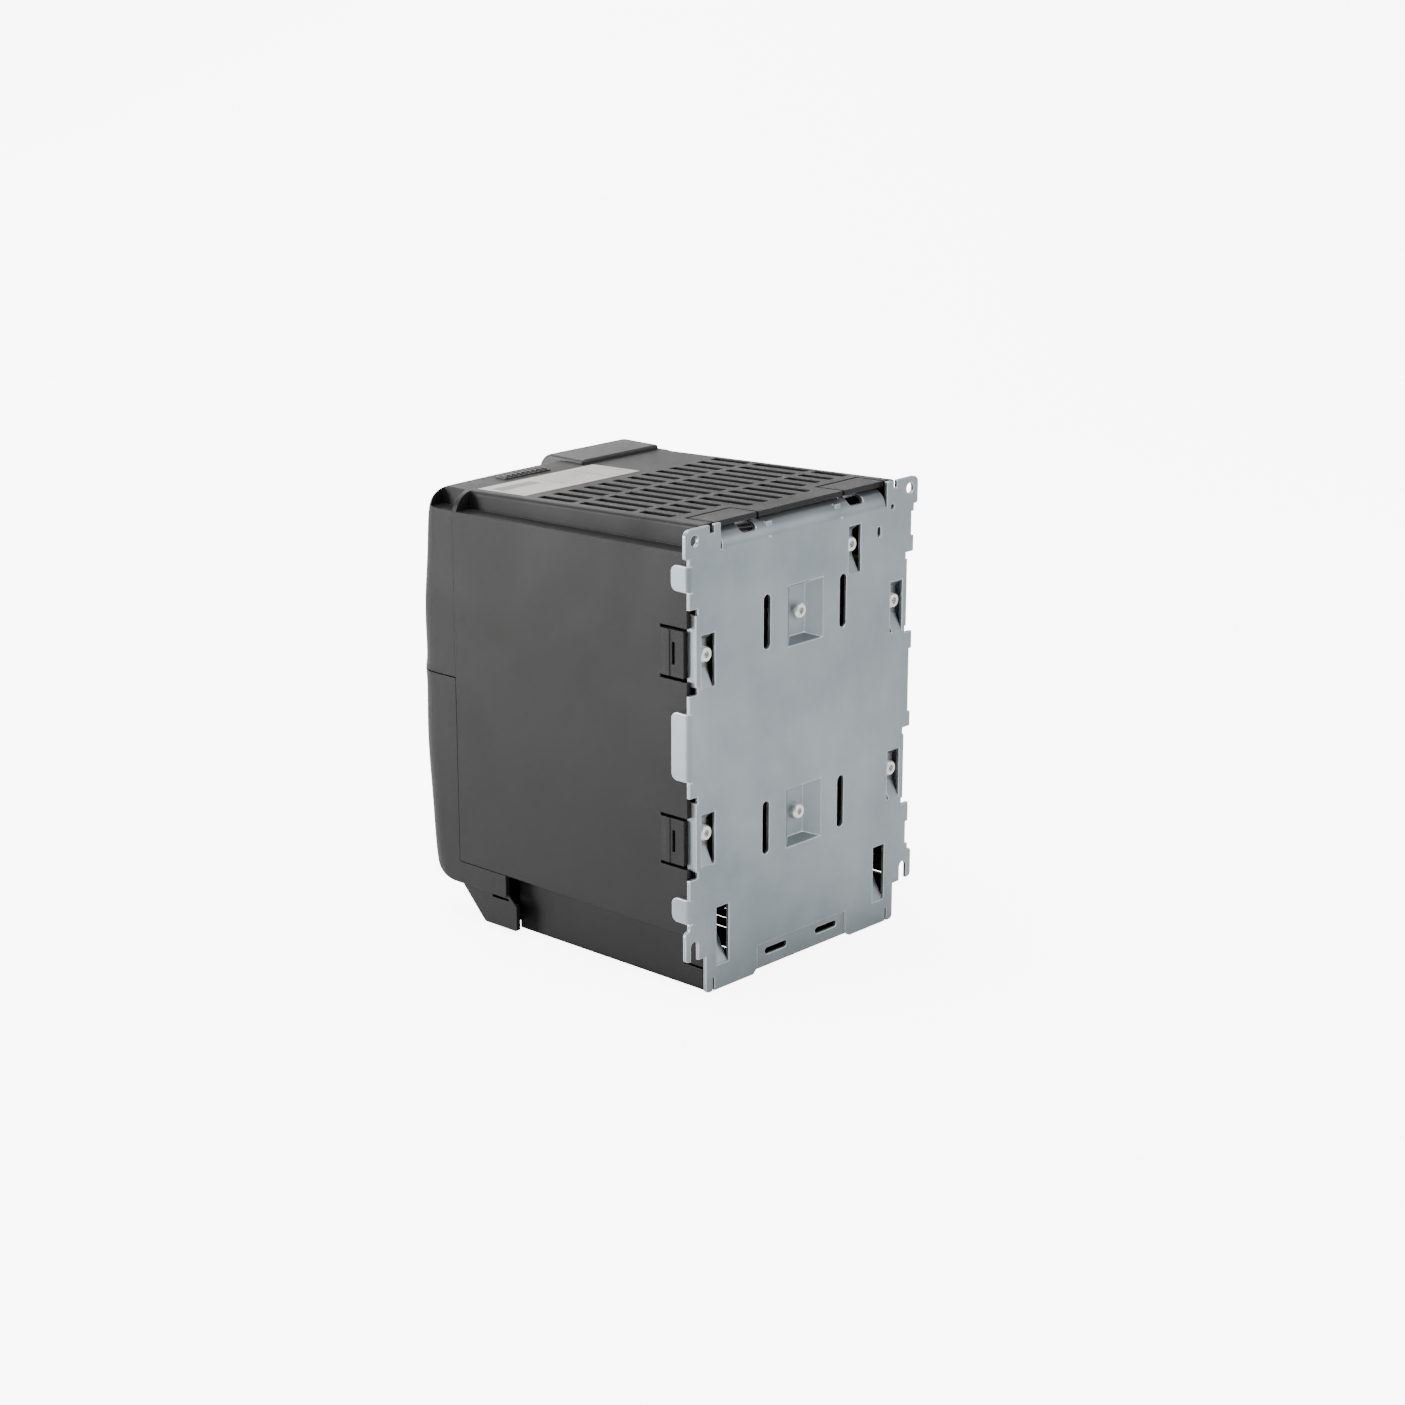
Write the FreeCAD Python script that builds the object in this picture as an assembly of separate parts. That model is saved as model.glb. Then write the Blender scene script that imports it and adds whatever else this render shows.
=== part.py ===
"""Wall-mounted inverter drive: sheet back plate, heat sink, snap-on plastic housing and front covers.

Frame: millimetres, origin at the middle of the four mounting holes on the back plate's rear face,
+X to the right seen from the front, +Y towards the wall, +Z up.
"""
import FreeCAD, Part
import math
import os

V = FreeCAD.Vector

# ---- driving dimensions ----
# mounting pattern
HOLE_SPAN_X = 138.0
HOLE_SPAN_Z = 174.0
MOUNT_HOLE_R = 2.4

# back plate
SHEET = 1.5
PLATE_HALF = 72.0
EAR_HALF = PLATE_HALF + 2.5
PLATE_TOP = 92.0
PLATE_BOTTOM = -110.0
FOOT_HALF = PLATE_HALF - 10.0
TOP_BEND_HALF = PLATE_HALF - 18.6
TOP_BEND_Z = PLATE_TOP - 11.0
TOP_BEND_R = 7.8
TOP_FLANGE_END = -13.0
POCKET_DEPTH = 5.0
POCKET_Z = 44.7
POCKET_HALF_WIDTH = 11.5
POCKET_HEIGHT = 26.5
STRIP_DEPTH = 3.7
SIDE_SCREW_X = PLATE_HALF - 11.4
SIDE_SCREW_Z = (38.0, -39.0)
TOP_SCREW = (-31.2, 68.3)
TAB_REACH = 10.2

# housing
HOUSING_HALF = PLATE_HALF - SHEET - 0.1
WALL = 2.2
SNAP_EDGE_HALF = HOUSING_HALF - WALL - 0.2
HOUSING_REAR = -3.0
SEAM_Y = -142.0
TOP_REAR_Z = PLATE_TOP
TOP_FRONT_Z = TOP_REAR_Z - 5.8
LEDGE_REAR_Z = TOP_REAR_Z - 10.3
LEDGE_FRONT_Z = TOP_FRONT_Z - 8.2
TOP_BAND_HALF = HOUSING_HALF - 8.9
GROOVE_Z = -82.2
LOW_BAND_HALF = HOUSING_HALF - 9.6
LOW_BAND_FRONT = SEAM_Y + 28.5
FLOOR_FRONT = -100.0

# grille in the housing's top
GRILLE_COLUMNS = 13
GRILLE_PITCH = 9.1
GRILLE_SLOT = 4.6
GRILLE_ROWS = ((-103.0, -81.5), (-78.0, -46.5), (-43.0, -24.5))
GRILLE_LONG_END = -14.5
GRILLE_LONG_COLUMNS = 5

# front covers
FRONT_Y = SEAM_Y - 30.0
FRONT_CORNER_R = 14.0
FRONT_CROWN = 1.8
FRONT_BULGE_R = 700.0
FRONT_MID_Z = -5.0
SPLIT_Z = 3.0
COVER_GAP = 0.3
COVER_BOTTOM = GROOVE_Z - 10.5
CHIN_BOTTOM = PLATE_BOTTOM + 2.2
CHIN_REAR = SEAM_Y + 34.6

# display panel and latch on the front cover
PANEL_X = (-61.0, -11.0)
PANEL_BOTTOM = 24.0
PANEL_RISE = 2.0
PANEL_FRONT = FRONT_Y + 0.2
PANEL_BACK = SEAM_Y - 8.0
PANEL_LIP_Z = TOP_FRONT_Z - 3.5
PANEL_LIP_REAR = SEAM_Y - 0.6
LATCH_X = (8.0, 36.0)
LATCH_Y = (SEAM_Y - 8.5, SEAM_Y - 2.5)
LATCH_TRAVEL = 1.5

# heat sink and fan
SINK_HALF = 54.0
SINK_TOP = 48.0
SINK_BOTTOM = -62.0
SINK_BASE_FRONT = -46.0
SINK_BASE = 6.0
FIN_COUNT = 15
FIN = 1.6
FAN_SIZE = 60.0
FAN_HEIGHT = 20.0
FAN_Y = -13.0 - FAN_SIZE / 2
DUCT_HEIGHT = 9.0
IMPELLER_CLEARANCE = 0.8

# circuit boards
BOARD = 1.6
POWER_BOARD_REAR = -58.4
POWER_BOARD_HALF = 56.0
POWER_BOARD_Z = (-80.0, 47.4)
CARRIER_REAR = SEAM_Y + 27.0
CARRIER = 2.0
CARRIER_HALF = HOUSING_HALF - 4.4
CARRIER_Z = (-40.0, 74.0)
CONTROL_BOARD_REAR = CARRIER_REAR - CARRIER - 4.0
CONTROL_BOARD_X = (-58.0, 58.0)
CONTROL_BOARD_Z = (-36.0, 66.0)

# parts on the boards
CHOKE_PLACE = (-38.0, -2.0)
CHOKE_FOOT = 3.0
CHOKE_PAD = 1.6
CHOKE_HEIGHT = 11.0
TERMINAL_POLES = 9
TERMINAL_PITCH = 11.0
TERMINAL_Z = (-79.0, -62.0)
TERMINAL_HEIGHT = 20.0
LINK_X = 50.0
LINK_Z = (-4.0, 30.0)
DIP_X = 49.0
DIP_Z = 20.0
DIP_PITCH = 4.0
DIP_TRAVEL = 2.0

# fasteners and fits
M4 = 4.0
M3 = 3.0
FIT = 0.1


# ---- helpers ----
PLANES = {
    "xy": (lambda u, v: V(u, v, 0), V(0, 0, 1)),
    "xz": (lambda u, v: V(u, 0, v), V(0, 1, 0)),
    "yz": (lambda u, v: V(0, u, v), V(1, 0, 0)),
}


def box(x0, x1, y0, y1, z0, z1):
    """Block between two corners given in any order."""
    low = V(min(x0, x1), min(y0, y1), min(z0, z1))
    return Part.makeBox(abs(x1 - x0), abs(y1 - y0), abs(z1 - z0), low)


def rod(centre, radius, length, axis):
    """Cylinder from a centre point along an axis vector."""
    return Part.makeCylinder(radius, length, V(*centre), V(*axis))


def outline_face(corners, plane):
    """Flat face of a closed outline; a third value in a corner is its rounding radius."""
    to_space, _ = PLANES[plane]
    points = [to_space(c[0], c[1]) for c in corners]
    edges = []
    starts = []
    ends = []
    middles = []
    count = len(corners)
    for index, corner in enumerate(corners):
        here = points[index]
        radius = corner[2] if len(corner) > 2 else 0.0
        back = (points[index - 1] - here).normalize()
        ahead = (points[(index + 1) % count] - here).normalize()
        if radius == 0:
            starts.append(here)
            ends.append(here)
            middles.append(None)
            continue
        half = back.getAngle(ahead) / 2
        reach = radius / math.tan(half)
        inward = (back + ahead).normalize()
        centre = here + inward * (radius / math.sin(half))
        starts.append(here + back * reach)
        ends.append(here + ahead * reach)
        middles.append(centre - inward * radius)
    for index in range(count):
        if middles[index] is not None:
            edges.append(Part.Arc(starts[index], middles[index], ends[index]).toShape())
        following = starts[(index + 1) % count]
        if ends[index].distanceToPoint(following) > 1e-6:
            edges.append(Part.makeLine(ends[index], following))
    return Part.Face(Part.Wire(edges))


def prism(corners, plane, start, end):
    """Outline pulled along the plane's normal from one place to another."""
    _, normal = PLANES[plane]
    face = outline_face(corners, plane)
    face.translate(normal * start)
    return face.extrude(normal * (end - start))


def join(shapes):
    """One solid from touching or overlapping shapes."""
    first = shapes[0]
    rest = list(shapes[1:])
    merged = first.fuse(rest) if rest else first
    return merged.removeSplitter()


def slot(x, z, length, width, y0, y1, upright=True):
    """Round-ended slot through a wall that faces along Y."""
    radius = width / 2
    half_x = radius if upright else length / 2
    half_z = length / 2 if upright else radius
    corners = [
        (x - half_x, z - half_z, radius * 0.999),
        (x + half_x, z - half_z, radius * 0.999),
        (x + half_x, z + half_z, radius * 0.999),
        (x - half_x, z + half_z, radius * 0.999),
    ]
    return prism(corners, "xz", y0, y1)


def mirrored(shape):
    """Copy on the other side of the middle plane."""
    return shape.mirror(V(0, 0, 0), V(1, 0, 0))


def both_sides(shapes):
    """The shapes and their mirror images."""
    return list(shapes) + [mirrored(shape) for shape in shapes]


def save(name, shapes):
    """Write one node as separate solids in a single file."""
    solids = []
    for shape in shapes:
        solids.extend(shape.Solids)
    Part.makeCompound(solids).exportStep("parts/" + name + ".step")


def along(line_rear, line_front, y):
    """Height at depth y on a straight line from the housing's rear edge to the seam."""
    share = (y - HOUSING_REAR) / (SEAM_Y - HOUSING_REAR)
    return line_rear + (line_front - line_rear) * share


def top_z(y):
    """Height of the housing's top face."""
    return along(TOP_REAR_Z, TOP_FRONT_Z, y)


def socket_screw(seat, direction, diameter, length, head_r, head_h):
    """Socket head screw: seat is under the head, direction is where the shank points."""
    axis = V(*direction)
    back = axis * -1
    rim = head_r * 0.18
    wall = Part.makeCylinder(head_r, head_h - rim, V(*seat), back)
    chamfer = Part.makeCone(head_r, head_r - rim, rim, V(*seat) + back * (head_h - rim), back)
    shank = Part.makeCylinder(diameter / 2, length, V(*seat), axis)
    socket = Part.makeCylinder(head_r * 0.42, head_h * 0.6, V(*seat) + back * (head_h * 0.45), back)
    return join([wall, chamfer, shank]).cut(socket)


# ---- back plate ----
def plate_outline():
    """Flat blank without the pressed features."""
    ear_low_top = -79.3
    ear_low_tip = -92.6
    foot_step = -93.4
    ear_high = 79.8
    middle_edge = PLATE_BOTTOM + 1.8
    right = [
        (30.0, middle_edge, 1.0), (32.0, PLATE_BOTTOM, 1.0), (FOOT_HALF, PLATE_BOTTOM, 2.0),
        (FOOT_HALF, foot_step), (EAR_HALF - 5.5, foot_step, 1.0), (EAR_HALF, ear_low_tip, 1.4),
        (EAR_HALF, ear_low_top, 2.0), (PLATE_HALF, ear_low_top), (PLATE_HALF, ear_high),
        (EAR_HALF, ear_high, 1.0), (EAR_HALF, PLATE_TOP, 3.0), (TOP_BEND_HALF, PLATE_TOP),
        (TOP_BEND_HALF, TOP_BEND_Z),
    ]
    left = [(-c[0],) + tuple(c[1:]) for c in reversed(right)]
    return prism(right + left, "xz", -SHEET, 0)


def plate_top_bend():
    """Rolled-over edge between the ears, ending in a flange under the housing's top."""
    centre_y = -TOP_BEND_R
    inner_r = TOP_BEND_R - SHEET
    corners = [
        (0, TOP_BEND_Z - 1), (0, TOP_BEND_Z + TOP_BEND_R, TOP_BEND_R - 0.001),
        (TOP_FLANGE_END, TOP_BEND_Z + TOP_BEND_R), (TOP_FLANGE_END, TOP_BEND_Z + inner_r),
        (-SHEET, TOP_BEND_Z + inner_r, inner_r), (-SHEET, TOP_BEND_Z - 1),
    ]
    bend = prism(corners, "yz", -TOP_BEND_HALF + 1.2, TOP_BEND_HALF - 1.2)
    ribs = []
    for side in (-1, 1):
        web = prism([(centre_y, TOP_BEND_Z + inner_r), (-SHEET, TOP_BEND_Z + inner_r),
                     (-SHEET, TOP_BEND_Z - 3)], "yz", side * 22 - 1.6, side * 22 + 1.6)
        ribs.append(web)
    grooves = []
    for side in (-1, 1):
        start = (side * 22, 0.9, TOP_BEND_Z - 4)
        grooves.append(rod(start, 1.6, 16, (side * 0.25, -0.55, 0.8)))
    pegs = [prism([(x - 5, TOP_BEND_Z + 4, 1.9), (x + 5, TOP_BEND_Z + 4, 1.9),
                   (x + 5, TOP_BEND_Z + 7.9, 1.9),
                   (x - 5, TOP_BEND_Z + 7.9, 1.9)], "xz", -7.0, 1.0) for x in (-34.5, 34.5)]
    return join([bend] + ribs).cut(grooves + pegs)


def bent_edge(half, reach, z0, z1):
    """Sheet folded forward along the plate's right-hand edge."""
    corners = [
        (half - 6, 0), (half, 0, 2.5), (half, -reach), (half - SHEET, -reach),
        (half - SHEET, -SHEET, 1.0), (half - 6, -SHEET),
    ]
    return prism(corners, "xy", z0, z1)


def side_tabs():
    """Three tabs on each side that reach forward over the housing."""
    tabs = []
    for z0, z1 in ((65.7, 76.5), (-14.6, 14.5), (-76.7, -66.1)):
        tab = bent_edge(PLATE_HALF, TAB_REACH, z0, z1)
        keep = prism([(1, z0), (-TAB_REACH, z0, 3.0), (-TAB_REACH, z1, 3.0), (1, z1)],
                     "yz", PLATE_HALF - 10, PLATE_HALF + 1)
        tabs.append(tab.common(keep))
    return both_sides(tabs)


def pressed_pocket(z_mid):
    """Depression in the plate: the pressed material, then the hollow to take out."""
    side_ramp = 6.5
    end_ramp = 2.5
    half_z = POCKET_HEIGHT / 2

    def ring(grow, shrink_x, shrink_z, y):
        half_x = POCKET_HALF_WIDTH - shrink_x + grow
        reach_z = half_z - shrink_z + grow
        corners = [(-half_x, z_mid - reach_z), (half_x, z_mid - reach_z),
                   (half_x, z_mid + reach_z), (-half_x, z_mid + reach_z)]
        points = [V(a, y, b) for a, b in corners]
        return Part.makePolygon(points + [points[0]])

    metal = Part.makeLoft([ring(SHEET, 0, 0, -SHEET / 2),
                           ring(SHEET * 0.6, side_ramp, end_ramp, -POCKET_DEPTH - SHEET)], True, True)
    hollow = Part.makeLoft([ring(0, 0, 0, 0.001), ring(0, side_ramp, end_ramp, -POCKET_DEPTH)], True, True)
    return metal, hollow


def lanced_strip(x0, x1, z0, z1, low_ramp, high_ramp, depth):
    """Strip of sheet pressed inwards between two cuts, ramped at both ends."""
    corners = [
        (0, z0), (-depth, z0 + low_ramp), (-depth, z1 - high_ramp), (0, z1),
        (-SHEET, z1), (-depth - SHEET, z1 - high_ramp - 0.4), (-depth - SHEET, z0 + low_ramp + 0.4),
        (-SHEET, z0),
    ]
    return prism(corners, "yz", x0, x1)


def screw_strips():
    """Windows and pressed strips that carry the screw heads at the sides and top."""
    windows = []
    strips = []
    slit = 1.6
    for z in SIDE_SCREW_Z:
        low = z - 13.8
        high = z + 9.0
        for side in (-1, 1):
            inner = side * (SIDE_SCREW_X - 4.0)
            outer = side * (SIDE_SCREW_X + 4.4)
            windows.append(box(inner, outer, -SHEET - 1, 1, low, high))
            strips.append(lanced_strip(*sorted((inner + side * slit, outer - side * 0.4)), low, high,
                                       7.6, 3.0, STRIP_DEPTH))
    x, z = TOP_SCREW
    windows.append(box(x - 4.8, x + 3.4, -SHEET - 1, 1, z - 12.6, z + 8.5))
    strips.append(lanced_strip(x - 3.2, x + 3.0, z - 12.6, z + 8.5, 7.4, 3.0, STRIP_DEPTH))
    return windows, strips


def low_tongues():
    """Tongues bent in from the two windows near the bottom corners."""
    windows = []
    tongues = []
    depth = 7.0
    for side in (-1, 1):
        x0, x1 = sorted((side * 47.8, side * 55.6))
        windows.append(box(x0, x1, -SHEET - 1, 1, -99.0, -73.0))
        corners = [(0, -100.0), (-depth, -87.0), (-depth, -82.0), (-depth - SHEET, -82.0),
                   (-depth - SHEET, -87.6), (-SHEET, -100.0)]
        blade = prism(corners, "yz", x0 + 0.3, x1 - 0.3)
        peg = rod((side * 51.7, -depth - 0.5, -84.4), 1.3, 3.0, (0, 1, 0))
        tongues.append(join([blade, peg]))
    return windows, tongues


def back_plate():
    """Galvanised sheet that carries everything and goes on the wall."""
    windows, strips = screw_strips()
    low_windows, tongues = low_tongues()
    pockets = [pressed_pocket(POCKET_Z), pressed_pocket(-POCKET_Z)]
    joggle = 0.8
    cuts = windows + low_windows
    for side in (-1, 1):
        hole_x = side * HOLE_SPAN_X / 2
        cuts.append(rod((hole_x, -5, HOLE_SPAN_Z / 2), MOUNT_HOLE_R, 10, (0, 1, 0)))
        cuts.append(rod((hole_x, -5, -HOLE_SPAN_Z / 2), MOUNT_HOLE_R, 10, (0, 1, 0)))
        cuts.append(box(hole_x - MOUNT_HOLE_R, hole_x + MOUNT_HOLE_R, -5, 5, -HOLE_SPAN_Z / 2, -100))
        cuts.append(box(side * 57.0, side * 60.0, -5, 5, PLATE_TOP - 3.5, PLATE_TOP + 1))
        cuts.append(box(side * 56.7, side * 57.9, -5, 5, PLATE_BOTTOM - 1, PLATE_BOTTOM + 6))
        cuts.append(slot(side * 16.6, -102, 14.5, 3.0, -5, 5, upright=False))
        for z0, z1 in ((22.4, 58.6), (-57.2, -21.4)):
            cuts.append(box(side * SNAP_EDGE_HALF, side * (PLATE_HALF + 1), -5, 5, z0, z1))
            cuts.append(box(side * (SNAP_EDGE_HALF - 1), side * (PLATE_HALF + 1), -5, 5, z0, z0 + 3))
            cuts.append(box(side * (SNAP_EDGE_HALF - 1), side * (PLATE_HALF + 1), -5, 5, z1 - 3, z1))
        for z in (45.0, -45.4):
            cuts.append(slot(side * 24.5, z, 23.6, 4.5, -5, 5))
        for z0, z1 in ((65.7, 76.5), (-14.6, 14.5), (-76.7, -66.1)):
            cuts.append(box(side * (PLATE_HALF - 5), side * (PLATE_HALF + 1), -5, 5, z0, z1))
    cuts.append(rod((-57.1, -5, 80.7), 1.25, 10, (0, 1, 0)))
    cuts.append(slot(-48.2, 71.0, 4.6, 2.4, -5, 5))
    cuts += [hollow for _, hollow in pockets]
    flat = plate_outline().cut(cuts)
    recess = box(-29.5, 29.5, -joggle, 1, -120, -97.5)
    backing = box(-29.5, 29.5, -SHEET - joggle, -joggle, PLATE_BOTTOM + 1.8, -96.7)
    backing = backing.cut([slot(side * 16.6, -102, 14.5, 3.0, -5, 5, upright=False) for side in (-1, 1)])
    flanges = []
    for z0, z1 in ((25.4, 55.6), (-54.2, -24.4)):
        flanges.append(bent_edge(SNAP_EDGE_HALF, 5.0, z0, z1).cut(
            box(SNAP_EDGE_HALF - 7, SNAP_EDGE_HALF - 3.0, -9, 1, z0, z1)))
    metal = [flat.cut(recess), plate_top_bend(), backing] + side_tabs() + both_sides(flanges)
    metal += strips + tongues
    body = join(metal)
    for pressed, hollow in pockets:
        body = body.fuse(pressed.cut(hollow))
    holes = []
    for z in (POCKET_Z, -POCKET_Z):
        holes.append(rod((0, -20, z), M4 / 2 + 0.3, 30, (0, 1, 0)))
    for x, z in side_screw_places() + [TOP_SCREW]:
        holes.append(rod((x, -20, z), M4 / 2 + 0.3, 30, (0, 1, 0)))
    return body.cut(holes).removeSplitter()


def side_screw_places():
    """Where the four screws into the housing's bosses stand."""
    return [(side * SIDE_SCREW_X, z) for side in (-1, 1) for z in SIDE_SCREW_Z]


def plate_screws():
    """Seven socket head screws on the plate's rear side."""
    screws = []
    for z in (POCKET_Z, -POCKET_Z):
        screws.append(socket_screw((0, -POCKET_DEPTH, z), (0, -1, 0), M4, 10, 3.5, 2.7))
    for x, z in side_screw_places():
        screws.append(socket_screw((x, -STRIP_DEPTH, z), (0, -1, 0), M4, 9, 3.5, 2.7))
    screws.append(socket_screw((TOP_SCREW[0], -STRIP_DEPTH, TOP_SCREW[1]), (0, -1, 0), M4, 7, 3.5, 2.7))
    return screws


# ---- housing ----
def housing_outside():
    """Outer form: broad middle, narrower band along the top and along the bottom."""
    middle = prism([(SEAM_Y, GROOVE_Z), (HOUSING_REAR, GROOVE_Z), (HOUSING_REAR, LEDGE_REAR_Z),
                    (SEAM_Y, LEDGE_FRONT_Z)], "yz", -HOUSING_HALF, HOUSING_HALF)
    upper = prism([(SEAM_Y, 60), (HOUSING_REAR, 60), (HOUSING_REAR, TOP_REAR_Z), (SEAM_Y, TOP_FRONT_Z)],
                  "yz", -TOP_BAND_HALF, TOP_BAND_HALF)
    top_edges = [e for e in upper.Edges if abs(e.BoundBox.YLength) > 50 and e.BoundBox.ZMin > 80]
    upper = upper.makeFillet(2.0, top_edges)
    lower = box(-LOW_BAND_HALF, LOW_BAND_HALF, LOW_BAND_FRONT, HOUSING_REAR, PLATE_BOTTOM, -70)
    low_edges = [e for e in lower.Edges if e.BoundBox.YLength > 50 and e.BoundBox.ZMax < -100]
    lower = lower.makeFillet(1.5, low_edges)
    bulkhead = prism([(-HOUSING_HALF, 60), (HOUSING_HALF, 60), (HOUSING_HALF, TOP_FRONT_Z, 10),
                      (-HOUSING_HALF, TOP_FRONT_Z, 10)], "xz", SEAM_Y, SEAM_Y + 2.5)
    return join([middle, upper, lower, bulkhead])


def housing_inside():
    """Hollow inside the outer form."""
    reach = 6.0
    slope = (LEDGE_REAR_Z - LEDGE_FRONT_Z) / (HOUSING_REAR - SEAM_Y)
    middle = prism([(SEAM_Y - reach, GROOVE_Z + WALL), (1, GROOVE_Z + WALL), (1, LEDGE_REAR_Z - WALL),
                    (SEAM_Y - reach, LEDGE_FRONT_Z - WALL - reach * slope)],
                   "yz", -HOUSING_HALF + WALL, HOUSING_HALF - WALL)
    upper = prism([(SEAM_Y - reach, 50), (1, 50), (1, TOP_REAR_Z - WALL), (SEAM_Y + 4, TOP_FRONT_Z - WALL),
                   (SEAM_Y - reach, TOP_FRONT_Z - WALL)], "yz", -TOP_BAND_HALF + WALL, TOP_BAND_HALF - WALL)
    lower = box(-LOW_BAND_HALF + WALL, LOW_BAND_HALF - WALL, SEAM_Y - reach, 1, PLATE_BOTTOM + WALL, -60)
    return join([middle, upper, lower])


def grille_cuts():
    """Slots in the top: three rows, with the middle columns of the rear row longer."""
    cuts = []
    middle = GRILLE_COLUMNS // 2
    for column in range(GRILLE_COLUMNS):
        x = (column - middle) * GRILLE_PITCH
        for row, (y0, y1) in enumerate(GRILLE_ROWS):
            last = row == len(GRILLE_ROWS) - 1
            if last and abs(column - middle) <= GRILLE_LONG_COLUMNS // 2:
                y1 = GRILLE_LONG_END
            half = GRILLE_SLOT / 2
            corners = [(x - half, y0, 1.2), (x + half, y0, 1.2), (x + half, y1, 1.2), (x - half, y1, 1.2)]
            cuts.append(prism(corners, "xy", 75, 100))
    return cuts


def top_snaps():
    """Two tongues at the rear of the top: the cuts round them and the raised ramps."""
    cuts = []
    ridges = []
    for side in (-1, 1):
        inner = side * 27.5
        outer = side * 54.5
        for x in (inner, outer):
            cuts.append(box(x - 0.7, x + 0.7, -19.0, 1, 80, 100))
        cuts.append(box(inner, outer, -19.0, -17.4, top_z(-18) - 1.0, 100))
        ramp = prism([(-8.5, top_z(-8.5) - 0.5), (-8.5, top_z(-8.5)), (-5.0, top_z(-5) + 0.001),
                      (HOUSING_REAR, TOP_REAR_Z - 0.1), (HOUSING_REAR, TOP_REAR_Z - 1)],
                     "yz", *sorted((inner + side * 4, outer - side * 4)))
        ridges.append(ramp)
    return cuts, ridges


def side_snaps():
    """Snap tongues in the side walls, freed by a cut above and below."""
    cuts = []
    pads = []
    inner = HOUSING_HALF - WALL - 1
    for z0, z1 in ((28.8, 48.6), (-52.1, -32.5)):
        for z in (z0 - 0.75, z1 + 0.75):
            cuts.append(box(inner, HOUSING_HALF + 2, -18.0, 1, z - 0.75, z + 0.75))
        middle = (z0 + z1) / 2
        cuts.append(box(inner, HOUSING_HALF + 2, -11.3, -9.7, middle - 4.8, middle + 4.8))
        cuts.append(box(inner, HOUSING_HALF + 2, -4.8, 1, z0, z1))
        ramp = prism([(HOUSING_HALF - 0.5, -17.6), (HOUSING_HALF, -17.6), (HOUSING_HALF + 0.4, -14.4),
                      (HOUSING_HALF + 0.4, -12.6), (HOUSING_HALF, -12.2), (HOUSING_HALF - 0.5, -12.2)],
                     "xy", z0 + 0.1, z1 - 0.1)
        pads.append(ramp)
    low_inner = LOW_BAND_HALF - WALL - 1
    for z in (-88.6, -99.7):
        cuts.append(box(low_inner, LOW_BAND_HALF + 1, -14.0, 1, z - 0.6, z + 0.6))
    return both_sides(cuts), both_sides(pads)


def housing_inner_parts():
    """Screw bosses, carrier ledges and stiffening ribs inside the housing."""
    parts = []
    rear = -STRIP_DEPTH - SHEET
    boss_length = 17.0
    for z in SIDE_SCREW_Z:
        boss = rod((SIDE_SCREW_X, rear - boss_length, z), 4.2, boss_length, (0, 1, 0))
        rib = box(SIDE_SCREW_X, HOUSING_HALF - 0.5, rear - boss_length, rear - 8, z - 1.2, z + 1.2)
        parts.append(join([boss, rib]))
    ledge = box(CARRIER_HALF - 4, HOUSING_HALF - 0.5, CARRIER_REAR, CARRIER_REAR + 3, *CARRIER_Z)
    parts.append(ledge)
    bores = []
    for z in SIDE_SCREW_Z:
        bores.append(rod((SIDE_SCREW_X, rear - 11, z), M4 / 2 + FIT, 12, (0, 1, 0)))
    for z in carrier_screw_heights():
        bores.append(rod((CARRIER_HALF - 2.0, CARRIER_REAR - 1, z), M3 / 2 + FIT, 5, (0, 1, 0)))
    return both_sides(parts), both_sides(bores)


def carrier_screw_heights():
    """Heights of the screws that hold the electronics carrier."""
    return (CARRIER_Z[0] + 6.0, CARRIER_Z[1] - 6.0)


def housing_floor_cuts():
    """Air inlet slots in the floor and the open cable space in front of it."""
    cuts = [box(-LOW_BAND_HALF + WALL, LOW_BAND_HALF - WALL, SEAM_Y - 1, FLOOR_FRONT,
                PLATE_BOTTOM - 1, PLATE_BOTTOM + WALL + 1)]
    for column in range(11):
        x = (column - 5) * 9.1
        for y0, y1 in ((-92.0, -70.0), (-64.0, -42.0), (-36.0, -14.0)):
            cuts.append(box(x - 2.3, x + 2.3, y0, y1, PLATE_BOTTOM - 1, PLATE_BOTTOM + WALL + 1))
    return cuts


def plate_clearance():
    """Room for the rolled top edge, the pressed strips and the low tongues of the plate."""
    gap = 0.4
    return [box(-TOP_BEND_HALF, TOP_BEND_HALF, TOP_FLANGE_END - 1, 1, 60, TOP_BEND_Z + TOP_BEND_R + gap)]


def housing():
    """Moulded shell with a grilled top, open at the rear and the front."""
    snap_cuts, ridges = top_snaps()
    side_cuts, pads = side_snaps()
    parts, bores = housing_inner_parts()
    shell = housing_outside().cut(housing_inside())
    body = join([shell] + ridges + pads + parts)
    cuts = grille_cuts() + snap_cuts + side_cuts + bores + housing_floor_cuts() + plate_clearance()
    return body.cut(cuts).removeSplitter()


# ---- front covers ----
def front_depth(z, inset, z_low, z_high, low_r, high_r):
    """Depth of the cover's front middle at a height: a slight bulge with rounded ends."""
    depth = FRONT_Y + (z - FRONT_MID_Z) ** 2 / (2 * FRONT_BULGE_R) + inset
    for limit, radius, sign in ((z_low, low_r, 1), (z_high, high_r, -1)):
        past = radius - sign * (z - limit)
        if past > 0:
            past = min(past, radius)
            depth += radius - math.sqrt(radius ** 2 - past ** 2)
    return depth


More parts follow.
